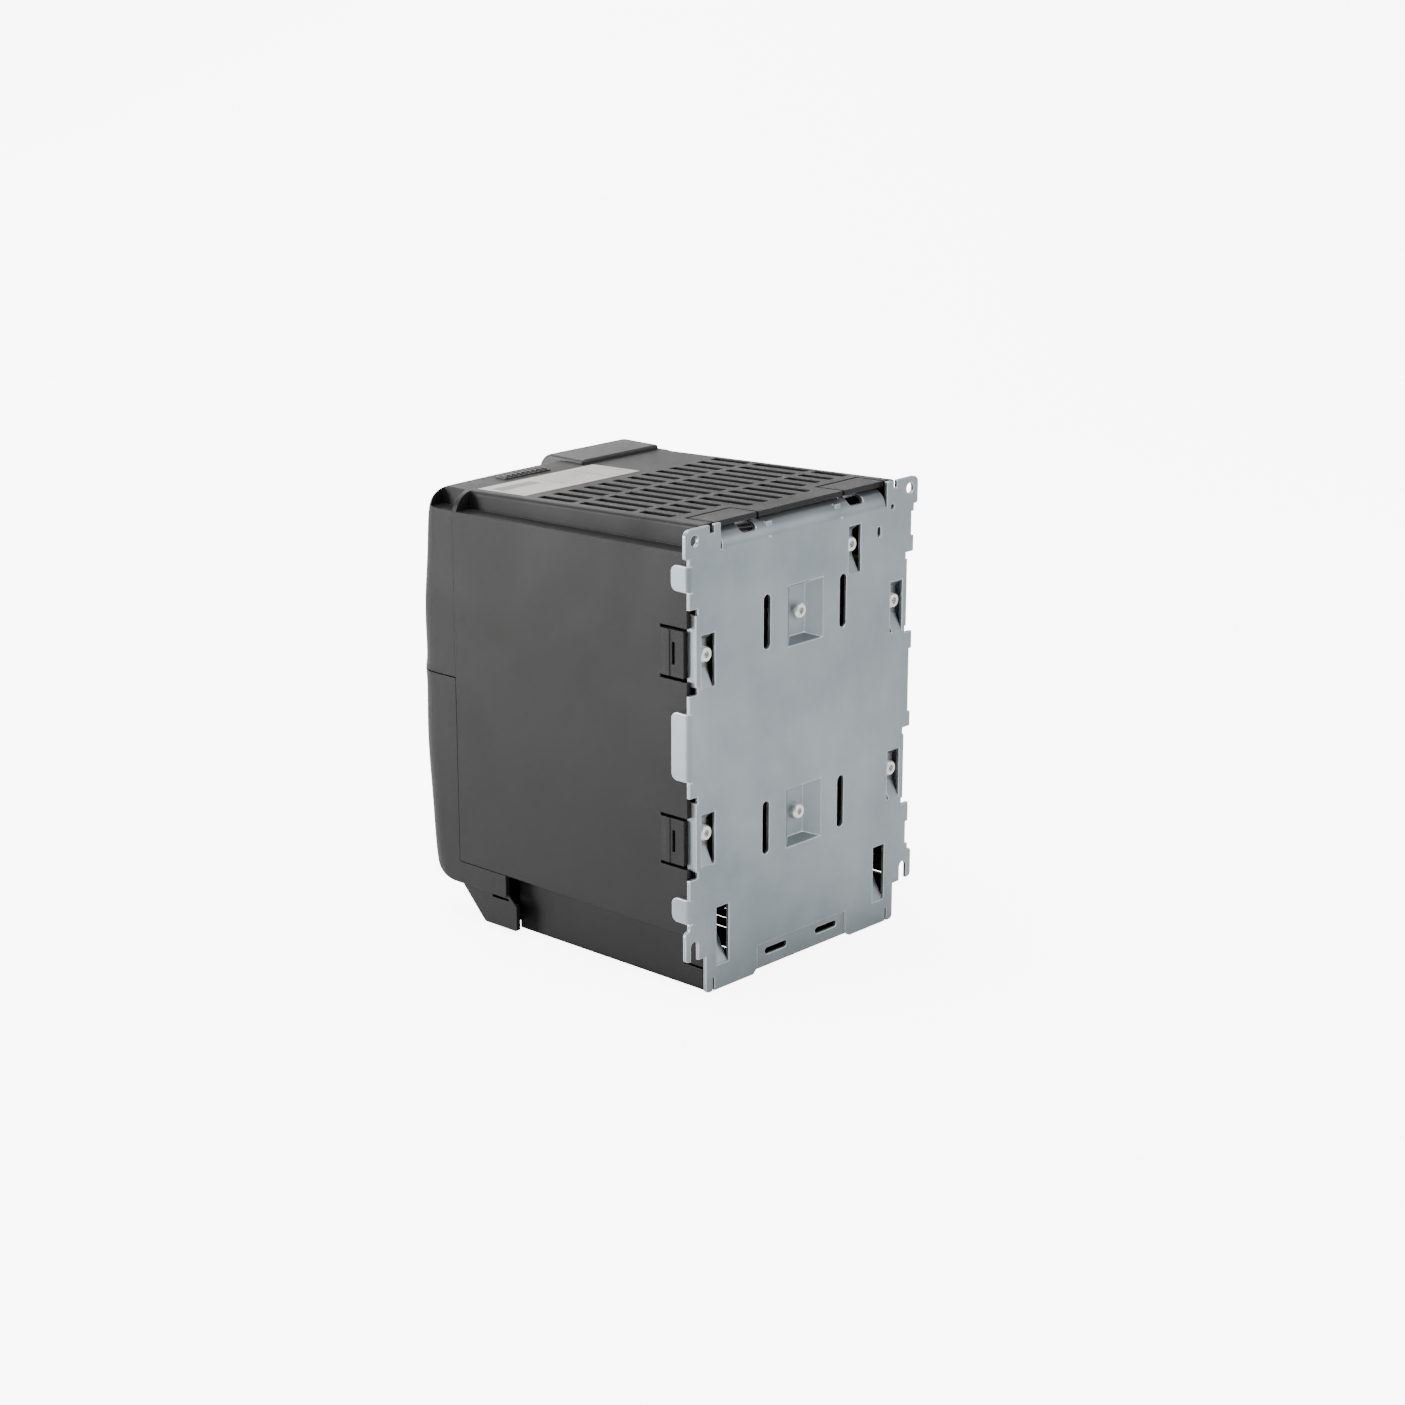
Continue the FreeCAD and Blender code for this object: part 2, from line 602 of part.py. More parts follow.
def cover_section(z, inset, depth, rear):
    """Plan outline of the cover at one height: flat sides, round corners, crowned front."""
    half = HOUSING_HALF - inset
    radius = FRONT_CORNER_R - inset
    arc_y = depth + FRONT_CROWN + radius
    turn = math.radians(82.0)
    arc_x = half - radius
    corner_x = arc_x + radius * math.cos(turn)
    corner_y = arc_y - radius * math.sin(turn)
    mid_x = arc_x + radius * math.cos(turn / 2)
    mid_y = arc_y - radius * math.sin(turn / 2)
    edges = [
        Part.makeLine(V(-half, rear, z), V(half, rear, z)),
        Part.makeLine(V(half, rear, z), V(half, arc_y, z)),
        Part.Arc(V(half, arc_y, z), V(mid_x, mid_y, z), V(corner_x, corner_y, z)).toShape(),
        Part.Arc(V(corner_x, corner_y, z), V(0, depth, z), V(-corner_x, corner_y, z)).toShape(),
        Part.Arc(V(-corner_x, corner_y, z), V(-mid_x, mid_y, z), V(-half, arc_y, z)).toShape(),
        Part.makeLine(V(-half, arc_y, z), V(-half, rear, z)),
    ]
    return Part.Wire(edges)


def cover_form(inset, z0, z1, rear, low_r=0.0, high_r=0.0):
    """Solid with the cover's outer form moved inwards by inset, between two heights."""
    heights = [z0 + (z1 - z0) * step / 4 for step in (1, 2, 3)]
    for radius, base, sign in ((low_r, z0, 1), (high_r, z1, -1)):
        if radius > 0:
            heights = [h for h in heights if abs(h - base) > radius]
            heights += [base + sign * radius * share for share in (0.1, 0.3, 0.6, 1.0)]
    heights = [z0] + sorted(heights) + [z1]
    wires = []
    for z in heights:
        depth = front_depth(z, inset, z0, z1, low_r, high_r)
        wires.append(cover_section(z, inset, depth, rear))
    return Part.makeLoft(wires, True, False)


def cover_channels(z_top):
    """Step along the upper outer edges, closed by the cover's front wall."""
    channel = box(TOP_BAND_HALF, HOUSING_HALF + 2, SEAM_Y - 15.0, SEAM_Y + 1, LEDGE_FRONT_Z, z_top + 5)
    return both_sides([channel])


def upper_cover_form(inset):
    """Outer or inner form of the upper cover with its rounded top corners."""
    top = TOP_FRONT_Z - inset
    form = cover_form(inset, SPLIT_Z + COVER_GAP, top, SEAM_Y if inset == 0 else SEAM_Y + 5, 0.0, 11.0)
    frame = prism([(-HOUSING_HALF - 1, -20), (HOUSING_HALF + 1, -20), (HOUSING_HALF + 1 - inset, top, 10),
                   (-HOUSING_HALF - 1 + inset, top, 10)], "xz", FRONT_Y - 10, SEAM_Y + 10)
    return form.common(frame)


def panel_pocket(gap):
    """Room taken by the display panel, grown by a gap."""
    x0, x1 = PANEL_X
    front = box(x0 - gap, x1 + gap, FRONT_Y - 10, PANEL_BACK + gap, PANEL_BOTTOM - gap, TOP_FRONT_Z + 10)
    over = box(x0 - gap, x1 + gap, PANEL_BACK - 1, PANEL_LIP_REAR + gap, PANEL_LIP_Z - gap, TOP_FRONT_Z + 10)
    return front.fuse(over)


def upper_front_cover():
    """Upper cover with the recess for the display panel and the slot for the latch."""
    shell = upper_cover_form(0).cut(upper_cover_form(WALL))
    x0, x1 = PANEL_X
    gap = COVER_GAP
    frame = box(x0 - 2, x1 + 2, FRONT_Y - 1, PANEL_BACK + 2, PANEL_BOTTOM - 2, TOP_FRONT_Z - 1)
    frame = frame.common(upper_cover_form(0.5))
    shelf = box(x0 - 2, x1 + 2, PANEL_BACK, SEAM_Y, PANEL_LIP_Z - gap - 1.6, TOP_FRONT_Z - 1)
    blocks = both_sides([box(TOP_BAND_HALF - WALL, TOP_BAND_HALF, SEAM_Y - 15, SEAM_Y, LEDGE_FRONT_Z - WALL,
                             TOP_FRONT_Z - 1),
                         box(TOP_BAND_HALF - WALL, HOUSING_HALF - 1, SEAM_Y - 15, SEAM_Y,
                             LEDGE_FRONT_Z - WALL, LEDGE_FRONT_Z),
                         box(TOP_BAND_HALF - WALL, HOUSING_HALF - 1, SEAM_Y - 16.5, SEAM_Y - 15,
                             LEDGE_FRONT_Z - WALL, TOP_FRONT_Z - 4)])
    y0, y1 = LATCH_Y
    seat = latch_seat_z()
    guide = box(LATCH_X[0] - 2, LATCH_X[1] + 2, y0 - 2, y1 + 2, seat - 2, TOP_FRONT_Z - 1)
    well = box(LATCH_X[0] - gap, LATCH_X[1] + gap, y0 - gap, y1 + gap, seat, TOP_FRONT_Z + 5)
    keeps = [block.common(upper_cover_form(0.3)) for block in blocks]
    body = join([shell, frame, shelf, guide] + keeps)
    opening = box(x0 + 16, x1 - 16, PANEL_BACK - 1, PANEL_BACK + 5, PANEL_BOTTOM + 6, PANEL_BOTTOM + 16)
    stems = [rod((x, (y0 + y1) / 2, seat - 3), 1.4, 6, (0, 0, 1)) for x in latch_stem_places()]
    behind = box(-80, 80, SEAM_Y, SEAM_Y + 10, -10, 100)
    cuts = [panel_pocket(gap), well, opening, behind] + stems + cover_channels(TOP_FRONT_Z)
    return body.cut(cuts)


def latch_seat_z():
    """Height of the floor that the latch springs stand on."""
    return TOP_FRONT_Z - 10.0


def latch_stem_places():
    """Where the two guide stems of the latch stand."""
    return (LATCH_X[0] + 6.0, LATCH_X[1] - 6.0)


def panel_latch():
    """Ribbed thumb piece sunk in the cover's top, with two guide stems."""
    x0, x1 = LATCH_X
    y0, y1 = LATCH_Y
    top = TOP_FRONT_Z + 0.6
    bottom = latch_seat_z() + LATCH_TRAVEL + 2.0
    parts = [box(x0, x1, y0, y1, bottom, top)]
    ribs = 9
    for index in range(ribs):
        x = x0 + 2.0 + (x1 - x0 - 4.0) * index / (ribs - 1)
        parts.append(box(x - 0.6, x + 0.6, y0 + 0.6, y1 - 0.6, top - 0.2, top + 0.7))
    for x in latch_stem_places():
        parts.append(rod((x, (y0 + y1) / 2, latch_seat_z() - 1.0), 1.2, 6.0, (0, 0, 1)))
    body = join(parts)
    for x in latch_stem_places():
        recess = rod((x, (y0 + y1) / 2, bottom - 1), 2.5, 3.5, (0, 0, 1))
        stem = rod((x, (y0 + y1) / 2, bottom - 2), 1.2, 6.0, (0, 0, 1))
        body = body.cut(recess.cut(stem))
    return body.removeSplitter()


def latch_springs():
    """Two small coil springs round the latch's stems."""
    springs = []
    seat = latch_seat_z()
    wire = 0.25
    coil_r = 1.9
    turns = 4
    clear = 0.1
    height = LATCH_TRAVEL + 4.0 - 2 * (wire + clear)
    for x in latch_stem_places():
        steps = turns * 12
        points = []
        for step in range(steps + 1):
            turn = 2 * math.pi * turns * step / steps
            points.append(V(x + coil_r * math.cos(turn), sum(LATCH_Y) / 2 + coil_r * math.sin(turn),
                            seat + wire + clear + height * step / steps))
        path = Part.BSplineCurve()
        path.interpolate(points)
        normal = path.tangent(path.FirstParameter)[0]
        profile = Part.Wire([Part.Circle(points[0], normal, wire).toShape()])
        springs.append(Part.Wire([path.toShape()]).makePipeShell([profile], True, True))
    return springs


def display_panel():
    """Pull-off operating panel: hollow body with a window recess."""
    x0, x1 = PANEL_X
    top = TOP_FRONT_Z + PANEL_RISE
    outer = prism([(PANEL_BACK, PANEL_BOTTOM), (PANEL_BACK, PANEL_LIP_Z), (PANEL_LIP_REAR, PANEL_LIP_Z),
                   (PANEL_LIP_REAR, top, 1.0), (PANEL_FRONT, top, 9.0), (PANEL_FRONT, PANEL_BOTTOM, 1.5)],
                  "yz", x0, x1)
    long_edges = [e for e in outer.Edges if e.BoundBox.ZLength > 30 and e.BoundBox.YMax < PANEL_FRONT + 1]
    outer = outer.makeFillet(1.6, long_edges)
    inner = box(x0 + 1.8, x1 - 1.8, PANEL_FRONT + 1.8, PANEL_BACK - 1.6, PANEL_BOTTOM + 1.8, top - 9.0)
    window = display_window_place(0.15)
    sight = box(x0 + 7.5, x1 - 7.5, PANEL_FRONT - 1, PANEL_FRONT + 0.5, PANEL_BOTTOM + 37.5, PANEL_BOTTOM + 50.5)
    keys = box(x0 + 5, x1 - 5, PANEL_FRONT - 1, PANEL_FRONT + 0.5, PANEL_BOTTOM + 5, PANEL_BOTTOM + 32)
    plug = box(x0 + 18, x1 - 18, PANEL_BACK - 3, PANEL_BACK + 1, PANEL_BOTTOM + 8, PANEL_BOTTOM + 14)
    return outer.cut([inner, window, sight, keys, plug]).removeSplitter()


def display_window_place(gap):
    """Block that the display window fills, grown by a gap."""
    x0, x1 = PANEL_X
    return box(x0 + 6 - gap, x1 - 6 + gap, PANEL_FRONT + 0.4, PANEL_FRONT + 1.8,
               PANEL_BOTTOM + 36 - gap, PANEL_BOTTOM + 52 + gap)


def display_window():
    """Clear window in front of the display."""
    return display_window_place(0.0)


def display_module():
    """Segment display on its small board behind the window."""
    x0, x1 = PANEL_X
    board = box(x0 + 3, x1 - 3, PANEL_FRONT + 7.4, PANEL_FRONT + 8.6, PANEL_BOTTOM + 3, PANEL_BOTTOM + 54)
    digits = box(x0 + 8, x1 - 8, PANEL_FRONT + 1.9, PANEL_FRONT + 7.4, PANEL_BOTTOM + 37, PANEL_BOTTOM + 51)
    plug = box(x0 + 18.3, x1 - 18.3, PANEL_FRONT + 8.6, PANEL_BACK + 0.0, PANEL_BOTTOM + 8.3,
               PANEL_BOTTOM + 13.7)
    posts = [box(x - 1, x + 1, PANEL_FRONT + 8.6, PANEL_BACK - 1.6, z - 1, z + 1)
             for x in (x0 + 6, x1 - 6) for z in (PANEL_BOTTOM + 6, PANEL_BOTTOM + 48)]
    return join([board, digits, plug] + posts)


def membrane_keypad():
    """Foil keypad with embossed keys."""
    x0, x1 = PANEL_X
    gap = 0.15
    foil = box(x0 + 5 + gap, x1 - 5 - gap, PANEL_FRONT, PANEL_FRONT + 0.5, PANEL_BOTTOM + 5 + gap,
               PANEL_BOTTOM + 32 - gap)
    keys = []
    for row in range(2):
        for column in range(3):
            x = (x0 + x1) / 2 + (column - 1) * 12.5
            z = PANEL_BOTTOM + 12.0 + row * 13.0
            key = prism([(x - 4.5, z - 4, 1.5), (x + 4.5, z - 4, 1.5), (x + 4.5, z + 4, 1.5),
                         (x - 4.5, z + 4, 1.5)], "xz", PANEL_FRONT - 0.2, PANEL_FRONT + 0.2)
            keys.append(key)
    return join([foil] + keys)


def lower_cover_form(inset):
    """Outer or inner form of the terminal cover in front of the seam."""
    rear = SEAM_Y - COVER_GAP if inset == 0 else SEAM_Y + 5
    return cover_form(inset, COVER_BOTTOM + inset, SPLIT_Z - COVER_GAP + (5 if inset else 0), rear, 6.0, 0.0)


def terminal_cover():
    """Lower cover with side skirts under the groove and a slanted chin for the cables."""
    skirt_top = GROOVE_Z - 0.5
    skirt_rear = LOW_BAND_FRONT + 0.8
    chin_half = HOUSING_HALF - 1.2
    seam = SEAM_Y - COVER_GAP
    skirt = prism([(seam - 4, skirt_top), (skirt_rear, skirt_top), (skirt_rear, COVER_BOTTOM, 1.0),
                   (seam - 4, COVER_BOTTOM)], "yz", -HOUSING_HALF, HOUSING_HALF)
    chin = prism([(seam + 0.6, COVER_BOTTOM + 2), (seam + 0.6, COVER_BOTTOM - 0.6),
                  (SEAM_Y + 14.3, CHIN_BOTTOM, 2.0), (CHIN_REAR, CHIN_BOTTOM, 1.0),
                  (CHIN_REAR, COVER_BOTTOM - 3.7),
                  (skirt_rear - 1, COVER_BOTTOM + 2)], "yz", -chin_half, chin_half)
    skirt_inner = box(-HOUSING_HALF + WALL, HOUSING_HALF - WALL, seam - 6, skirt_rear + 5,
                      COVER_BOTTOM - 3, skirt_top + 2)
    chin_inner = prism([(seam + 3.0, COVER_BOTTOM + 8), (seam + 3.0, COVER_BOTTOM - 0.4),
                        (SEAM_Y + 15.2, CHIN_BOTTOM + 2.0), (-60, CHIN_BOTTOM + 2.0),
                        (-60, COVER_BOTTOM + 8)],
                       "yz", -chin_half + WALL, chin_half - WALL)
    outer = join([lower_cover_form(0), skirt, chin])
    shell = outer.cut([lower_cover_form(WALL), skirt_inner, chin_inner])
    floor_back = box(-chin_half + WALL, chin_half - WALL, SEAM_Y + 25.0, -60,
                     CHIN_BOTTOM - 1, CHIN_BOTTOM + 2.1)
    slits = both_sides([box(chin_half - WALL - 1, HOUSING_HALF + 1, SEAM_Y + 19.3, skirt_rear + 0.5,
                            COVER_BOTTOM - 2.2, COVER_BOTTOM - 0.9)])
    notches = []
    for x in cable_places():
        notches.append(prism([(x - 9, SEAM_Y + 17.5, 7.9), (x + 9, SEAM_Y + 17.5, 7.9), (x + 9, -60),
                              (x - 9, -60)],
                             "xy", CHIN_BOTTOM - 1, CHIN_BOTTOM + 2.1))
    body = shell.cut([floor_back] + slits + notches)
    hooks = []
    for x in (-48.0, 48.0):
        hooks.append(box(x - 5, x + 5, seam - 12, seam - 10.4, SPLIT_Z - 9, SPLIT_Z + 3.0))
        hooks.append(box(x - 5, x + 5, FRONT_Y + 2.6, seam - 10.4, SPLIT_Z - 9, SPLIT_Z - 7.4))
    hooks = [hook.common(cover_form(0.5, -60, 8.0, SEAM_Y)) for hook in hooks]
    return join([body] + hooks)


def cable_places():
    """Middles of the three cable ways in the chin."""
    return (-40.0, 0.0, 40.0)


def rating_label():
    """Blank foil label stuck on the housing's top."""
    y0, y1 = -139.0, -109.5
    thick = 0.12
    corners = [(y0, top_z(y0)), (y1, top_z(y1)), (y1, top_z(y1) + thick), (y0, top_z(y0) + thick)]
    return prism(corners, "yz", -13.5, 57.5)


# ---- heat sink, fan and power stage ----
def heatsink():
    """Extruded heat sink: base plate, fins towards the wall and two screw bosses."""
    tips = -POCKET_DEPTH - SHEET
    base_rear = SINK_BASE_FRONT + SINK_BASE
    parts = [box(-SINK_HALF, SINK_HALF, SINK_BASE_FRONT, base_rear, SINK_BOTTOM, SINK_TOP)]
    pitch = (2 * SINK_HALF - FIN) / (FIN_COUNT - 1)
    keep_off = -STRIP_DEPTH - SHEET - 3.5
    for index in range(FIN_COUNT):
        x = -SINK_HALF + FIN / 2 + index * pitch
        parts.append(box(x - FIN / 2, x + FIN / 2, base_rear - 0.5, tips - 0.5, SINK_BOTTOM, SINK_TOP))
    bosses = [box(-6, 6, base_rear - 0.5, tips, z - 5, z + 3.2) for z in (POCKET_Z, -POCKET_Z)]
    body = join(parts + bosses)
    cuts = []
    for z in (POCKET_Z, -POCKET_Z):
        cuts.append(rod((0, tips - 11, z), M4 / 2 + FIT, 12, (0, 1, 0)))
    for side in (-1, 1):
        cuts.append(box(side * 44, side * 60, keep_off, 0, -79, SINK_BOTTOM + 1))
    for x, z in module_screw_places() + standoff_places():
        cuts.append(rod((x, SINK_BASE_FRONT - 1, z), M3 / 2 + FIT, 6.5, (0, 1, 0)))
    return body.cut(cuts).removeSplitter()


def igbt_place():
    """Extent of the power transistor module on the heat sink."""
    return (-38.0, 8.0, -34.0, 22.0)


def rectifier_place():
    """Extent of the input rectifier on the heat sink."""
    return (18.0, 46.0, -34.0, -6.0)


def module_screw_places():
    """Screws that press the two modules on the heat sink."""
    x0, x1, z0, z1 = igbt_place()
    a0, a1, b0, b1 = rectifier_place()
    return [(x0 + 4, z0 + 4), (x1 - 4, z1 - 4), ((a0 + a1) / 2, b0 + 5), ((a0 + a1) / 2, b1 - 5)]


def standoff_places():
    """Four hexagonal posts between the heat sink and the power board."""
    return [(x, z) for x in (-49.0, 49.0) for z in (-56.0, 42.0)]


def power_module(place, height, pin_rows):
    """Flat moulded module with two screw holes and rows of pins through the board."""
    x0, x1, z0, z1 = place
    front = SINK_BASE_FRONT - height
    corners = [(x0, z0, 2.0), (x1, z0, 2.0), (x1, z1, 2.0), (x0, z1, 2.0)]
    parts = [prism(corners, "xz", front, SINK_BASE_FRONT)]
    for x in pin_rows:
        for index in range(8):
            z = z0 + 12 + (z1 - z0 - 24) * index / 7
            parts.append(box(x - 0.5, x + 0.5, board_front(), front + 0.5, z - 0.4, z + 0.4))
    return join(parts)


def igbt_module():
    """Six-pack transistor module."""
    x0, x1, z0, z1 = igbt_place()
    body = power_module(igbt_place(), 11.0, (x0 + 3, x1 - 3))
    return body.cut([rod((x, -90, z), M3 / 2 + FIT, 60, (0, 1, 0)) for x, z in module_screw_places()[:2]])


def rectifier_module():
    """Input bridge rectifier."""
    a0, a1, b0, b1 = rectifier_place()
    body = power_module(rectifier_place(), 9.0, (a0 + 3, a1 - 3))
    return body.cut([rod((x, -90, z), M3 / 2 + FIT, 60, (0, 1, 0)) for x, z in module_screw_places()[2:]])


def module_screws():
    """Screws through the modules into the heat sink."""
    screws = []
    for index, (x, z) in enumerate(module_screw_places()):
        height = 11.0 if index < 2 else 9.0
        head_y = SINK_BASE_FRONT - height
        screws.append(socket_screw((x, head_y, z), (0, 1, 0), M3, height + 4.5, 1.2 * M3 - 0.8, 1.1))
    return screws


def standoffs():
    """Brass hexagonal posts."""
    posts = []
    for x, z in standoff_places():
        length = SINK_BASE_FRONT - POWER_BOARD_REAR
        hexagon = [V(x + 2.9 * math.cos(math.radians(60 * k)), POWER_BOARD_REAR,
                     z + 2.9 * math.sin(math.radians(60 * k))) for k in range(7)]
        post = Part.Face(Part.makePolygon(hexagon)).extrude(V(0, length, 0))
        bore = rod((x, POWER_BOARD_REAR - 1, z), M3 / 2 + FIT, 8, (0, 1, 0))
        stud = rod((x, SINK_BASE_FRONT - 0.5, z), M3 / 2, 5, (0, 1, 0))
        posts.append(join([post.cut(bore), stud]))
    return posts


def power_board():
    """Power circuit board in front of the heat sink."""
    z0, z1 = POWER_BOARD_Z
    half = POWER_BOARD_HALF
    front = POWER_BOARD_REAR - BOARD
    corners = [(-half, z0, 1.5), (half, z0, 1.5), (half, z1, 1.5), (-half, z1, 1.5)]
    board = prism(corners, "xz", front, POWER_BOARD_REAR)
    cuts = [rod((x, front - 1, z), M3 / 2 + FIT, 5, (0, 1, 0)) for x, z in standoff_places()]
    for place in (igbt_place(), rectifier_place()):
        x0, x1, b0, b1 = place
        for x in (x0 + 3, x1 - 3):
            cuts.append(box(x - 0.9, x + 0.9, front - 1, POWER_BOARD_REAR + 1, b0 + 11, b1 - 11))
    return board.cut(cuts)


def board_screws(places, front, length):
    """Pan head screws that hold a board from its front side."""
    return [socket_screw((x, front, z), (0, 1, 0), M3, length, 2.8, 1.9) for x, z in places]


# ---- parts on the power board ----
def board_front():
    """Depth of the power board's front face."""
    return POWER_BOARD_REAR - BOARD


def capacitor_places():
    """Middles of the three big electrolytic capacitors."""
    return [(x, 28.0) for x in (-36.0, -6.0, 24.0)]


def dc_link_capacitors():
    """Electrolytic capacitors standing on the power board with grooved cans."""
    cans = []
    radius = 12.5
    height = 42.0
    front = board_front()
    for x, z in capacitor_places():
        can = rod((x, front, z), radius, height, (0, -1, 0))
        can = can.makeFillet(1.2, [e for e in can.Edges if len(e.Vertexes) == 1])
        groove = Part.makeTorus(radius + 0.4, 1.0, V(x, front - 4.0, z), V(0, 1, 0))
        can = can.cut([groove, box(x - 8, x + 8, front - height - 1, front - height + 0.4,
                                   z - 0.35, z + 0.35),
                       box(x - 0.35, x + 0.35, front - height - 1, front - height + 0.4, z - 8, z + 8)])
        cans.append(can)
    return cans


def choke_core():
    """Toroid core of the input choke, standing on its base."""
    front = board_front()
    x, z = CHOKE_PLACE
    seat = front - CHOKE_FOOT - CHOKE_PAD
    ring = rod((x, seat, z), 15.0, CHOKE_HEIGHT, (0, -1, 0))
    return ring.cut(rod((x, seat + 1, z), 7.0, CHOKE_HEIGHT + 2, (0, -1, 0)))


def choke_base():
    """Insulating foot under the choke."""
    front = board_front()
    x, z = CHOKE_PLACE
    foot = box(x - 16, x + 16, front - CHOKE_FOOT, front, z - 14, z + 14)
    pads = [box(x + side * 8, x + side * 14.5, front - CHOKE_FOOT - CHOKE_PAD, front - 1, z - 2.2, z + 2.2)
            for side in (-1, 1)]
    return join([foot] + pads)


def choke_winding():
    """Turns of enamelled wire round the choke core, in two halves."""
    front = board_front()
    x, z = CHOKE_PLACE
    mid_y = front - CHOKE_FOOT - CHOKE_PAD - CHOKE_HEIGHT / 2
    loops = []
    for start in (25.0, 205.0):
        for index in range(9):
            turn = math.radians(start + index * 16.0)
            direction = V(math.cos(turn), 0, math.sin(turn))
            centre = V(x, mid_y, z) + direction * 11.0
            half_long = 5.0
            half_deep = 6.35
            across = V(0, 1, 0)
            corners = [centre + direction * (half_long * sx) + across * (half_deep * sy)
                       for sx, sy in ((-1, -1), (1, -1), (1, 1), (-1, 1), (-1, -1))]
            normal = (corners[1] - corners[0]).normalize()
            start_point = centre - across * half_deep
            ordered = Part.makePolygon([start_point, corners[1], corners[2], corners[3], corners[0],
                                        start_point])
            profile = Part.Wire([Part.Circle(start_point, normal, 0.7).toShape()])
            loops.append(ordered.makePipeShell([profile], True, False, 2))
    return loops


def film_capacitors():
    """Box capacitors of the input filter."""
    front = board_front()
    boxes = []
    for x, z, wide, high, tall in ((-6.0, -8.0, 26.0, 9.0, 17.0), (-6.0, -22.0, 26.0, 9.0, 17.0),
                                   (-45.0, -34.0, 18.0, 8.0, 14.0), (-23.0, -34.0, 18.0, 8.0, 14.0)):
        corners = [(x - wide / 2, z - high / 2, 1.0), (x + wide / 2, z - high / 2, 1.0),
                   (x + wide / 2, z + high / 2, 1.0), (x - wide / 2, z + high / 2, 1.0)]
        boxes.append(prism(corners, "xz", front - tall, front))
    return boxes


def relays():
    """Charging relay and output relay."""
    front = board_front()
    blocks = []
    for x in (17.0, 37.0):
        corners = [(x - 8, -44, 0.8), (x + 8, -44, 0.8), (x + 8, -24, 0.8), (x - 8, -24, 0.8)]
        blocks.append(prism(corners, "xz", front - 15.0, front))
    return blocks


def supply_transformer():
    """Ferrite transformer of the switching supply: bobbin between two core halves."""
    front = board_front()
    core = box(20.0, 44.0, front - 20.0, front - 3.0, -18.0, -10.0).fuse(
        box(20.0, 44.0, front - 20.0, front - 3.0, 2.0, 8.0))
    legs = [box(20.0, 23.5, front - 20.0, front - 3.0, -11, 3),
            box(40.5, 44.0, front - 20.0, front - 3.0, -11, 3)]
    return join([core] + legs)


def transformer_bobbin():
    """Wound bobbin inside the transformer core."""
    front = board_front()
    winding = prism([(23.8, -9.7, 2.5), (40.2, -9.7, 2.5), (40.2, 1.7, 2.5), (23.8, 1.7, 2.5)], "xz",
                    front - 19.0, front - 4.0)
    foot = box(21.0, 43.0, front - 2.9, front, -14.0, 5.0)
    stem = box(26.0, 38.0, front - 4.5, front - 2.0, -9.0, 1.0)
    return join([winding, foot, stem])


def terminal_places():
    """Middles of the power terminal poles."""
    return [(index - (TERMINAL_POLES - 1) / 2) * TERMINAL_PITCH for index in range(TERMINAL_POLES)]


def power_terminal_block():
    """Row of screw terminals: open towards the bottom for the wires and to the front for the screws."""
    front = board_front()
    z0, z1 = TERMINAL_Z
    half = TERMINAL_POLES * TERMINAL_PITCH / 2 + 1.5
    body = box(-half, half, front - TERMINAL_HEIGHT, front, z0, z1)
    cuts = []
    for x in terminal_places():
        cuts.append(box(x - 4.3, x + 4.3, front - 12.5, front - 4.0, z0 - 1, z1 - 4))
        cuts.append(rod((x, front - TERMINAL_HEIGHT - 1, (z0 + z1) / 2 - 1), 3.4, 10, (0, 1, 0)))
    chamfered = body.makeChamfer(1.5, [e for e in body.Edges if e.BoundBox.XLength > 50
                                       and e.BoundBox.YMax < front - TERMINAL_HEIGHT + 0.1])
    return chamfered.cut(cuts).removeSplitter()


def terminal_clamps():
    """Plated cage clamps inside the terminal block."""
    front = board_front()
    z0, z1 = TERMINAL_Z
    cages = []
    for x in terminal_places():
        cage = box(x - 4.2, x + 4.2, front - 12.4, front - 4.1, z0 + 2, z1 - 4.2)
        tunnel = box(x - 3.2, x + 3.2, front - 9.6, front - 5.1, z0 + 1, z1)
        bore = rod((x, front - 14, (z0 + z1) / 2 - 1), M4 / 2 + FIT / 2, 6, (0, 1, 0))
        cages.append(cage.cut([tunnel, bore]))
    return cages


def terminal_screws():
    """Slotted clamp screws of the power terminals."""
    front = board_front()
    middle = sum(TERMINAL_Z) / 2 - 1
    screws = []
    for x in terminal_places():
        head = rod((x, front - 16.0, middle), 3.2, 3.5, (0, 1, 0))
        shank = rod((x, front - 12.6, middle), M4 / 2, 4.0, (0, 1, 0))
        cross = [box(x - 2.2, x + 2.2, front - 17, front - 14.8, middle - 0.45, middle + 0.45),
                 box(x - 0.45, x + 0.45, front - 17, front - 14.8, middle - 2.2, middle + 2.2)]
        screws.append(join([head, shank]).cut(cross))
    return screws


def emc_screw():
    """Filter jumper screw on the board's edge."""
    front = board_front()
    return socket_screw((49.0, front - 3.0, -50.0), (0, 1, 0), M3, 3.0, 3.0, 2.0)


def emc_clip():
    """Bent brass clip that the filter screw holds."""
    front = board_front()
    return box(44.5, 53.5, front - 3.0, front, -53.5, -46.5).cut(
        [box(46.5, 51.5, front - 1.8, front + 1, -54, -46),
         rod((49, front - 5, -50), M3 / 2 + FIT, 8, (0, 1, 0))])


# ---- control electronics ----


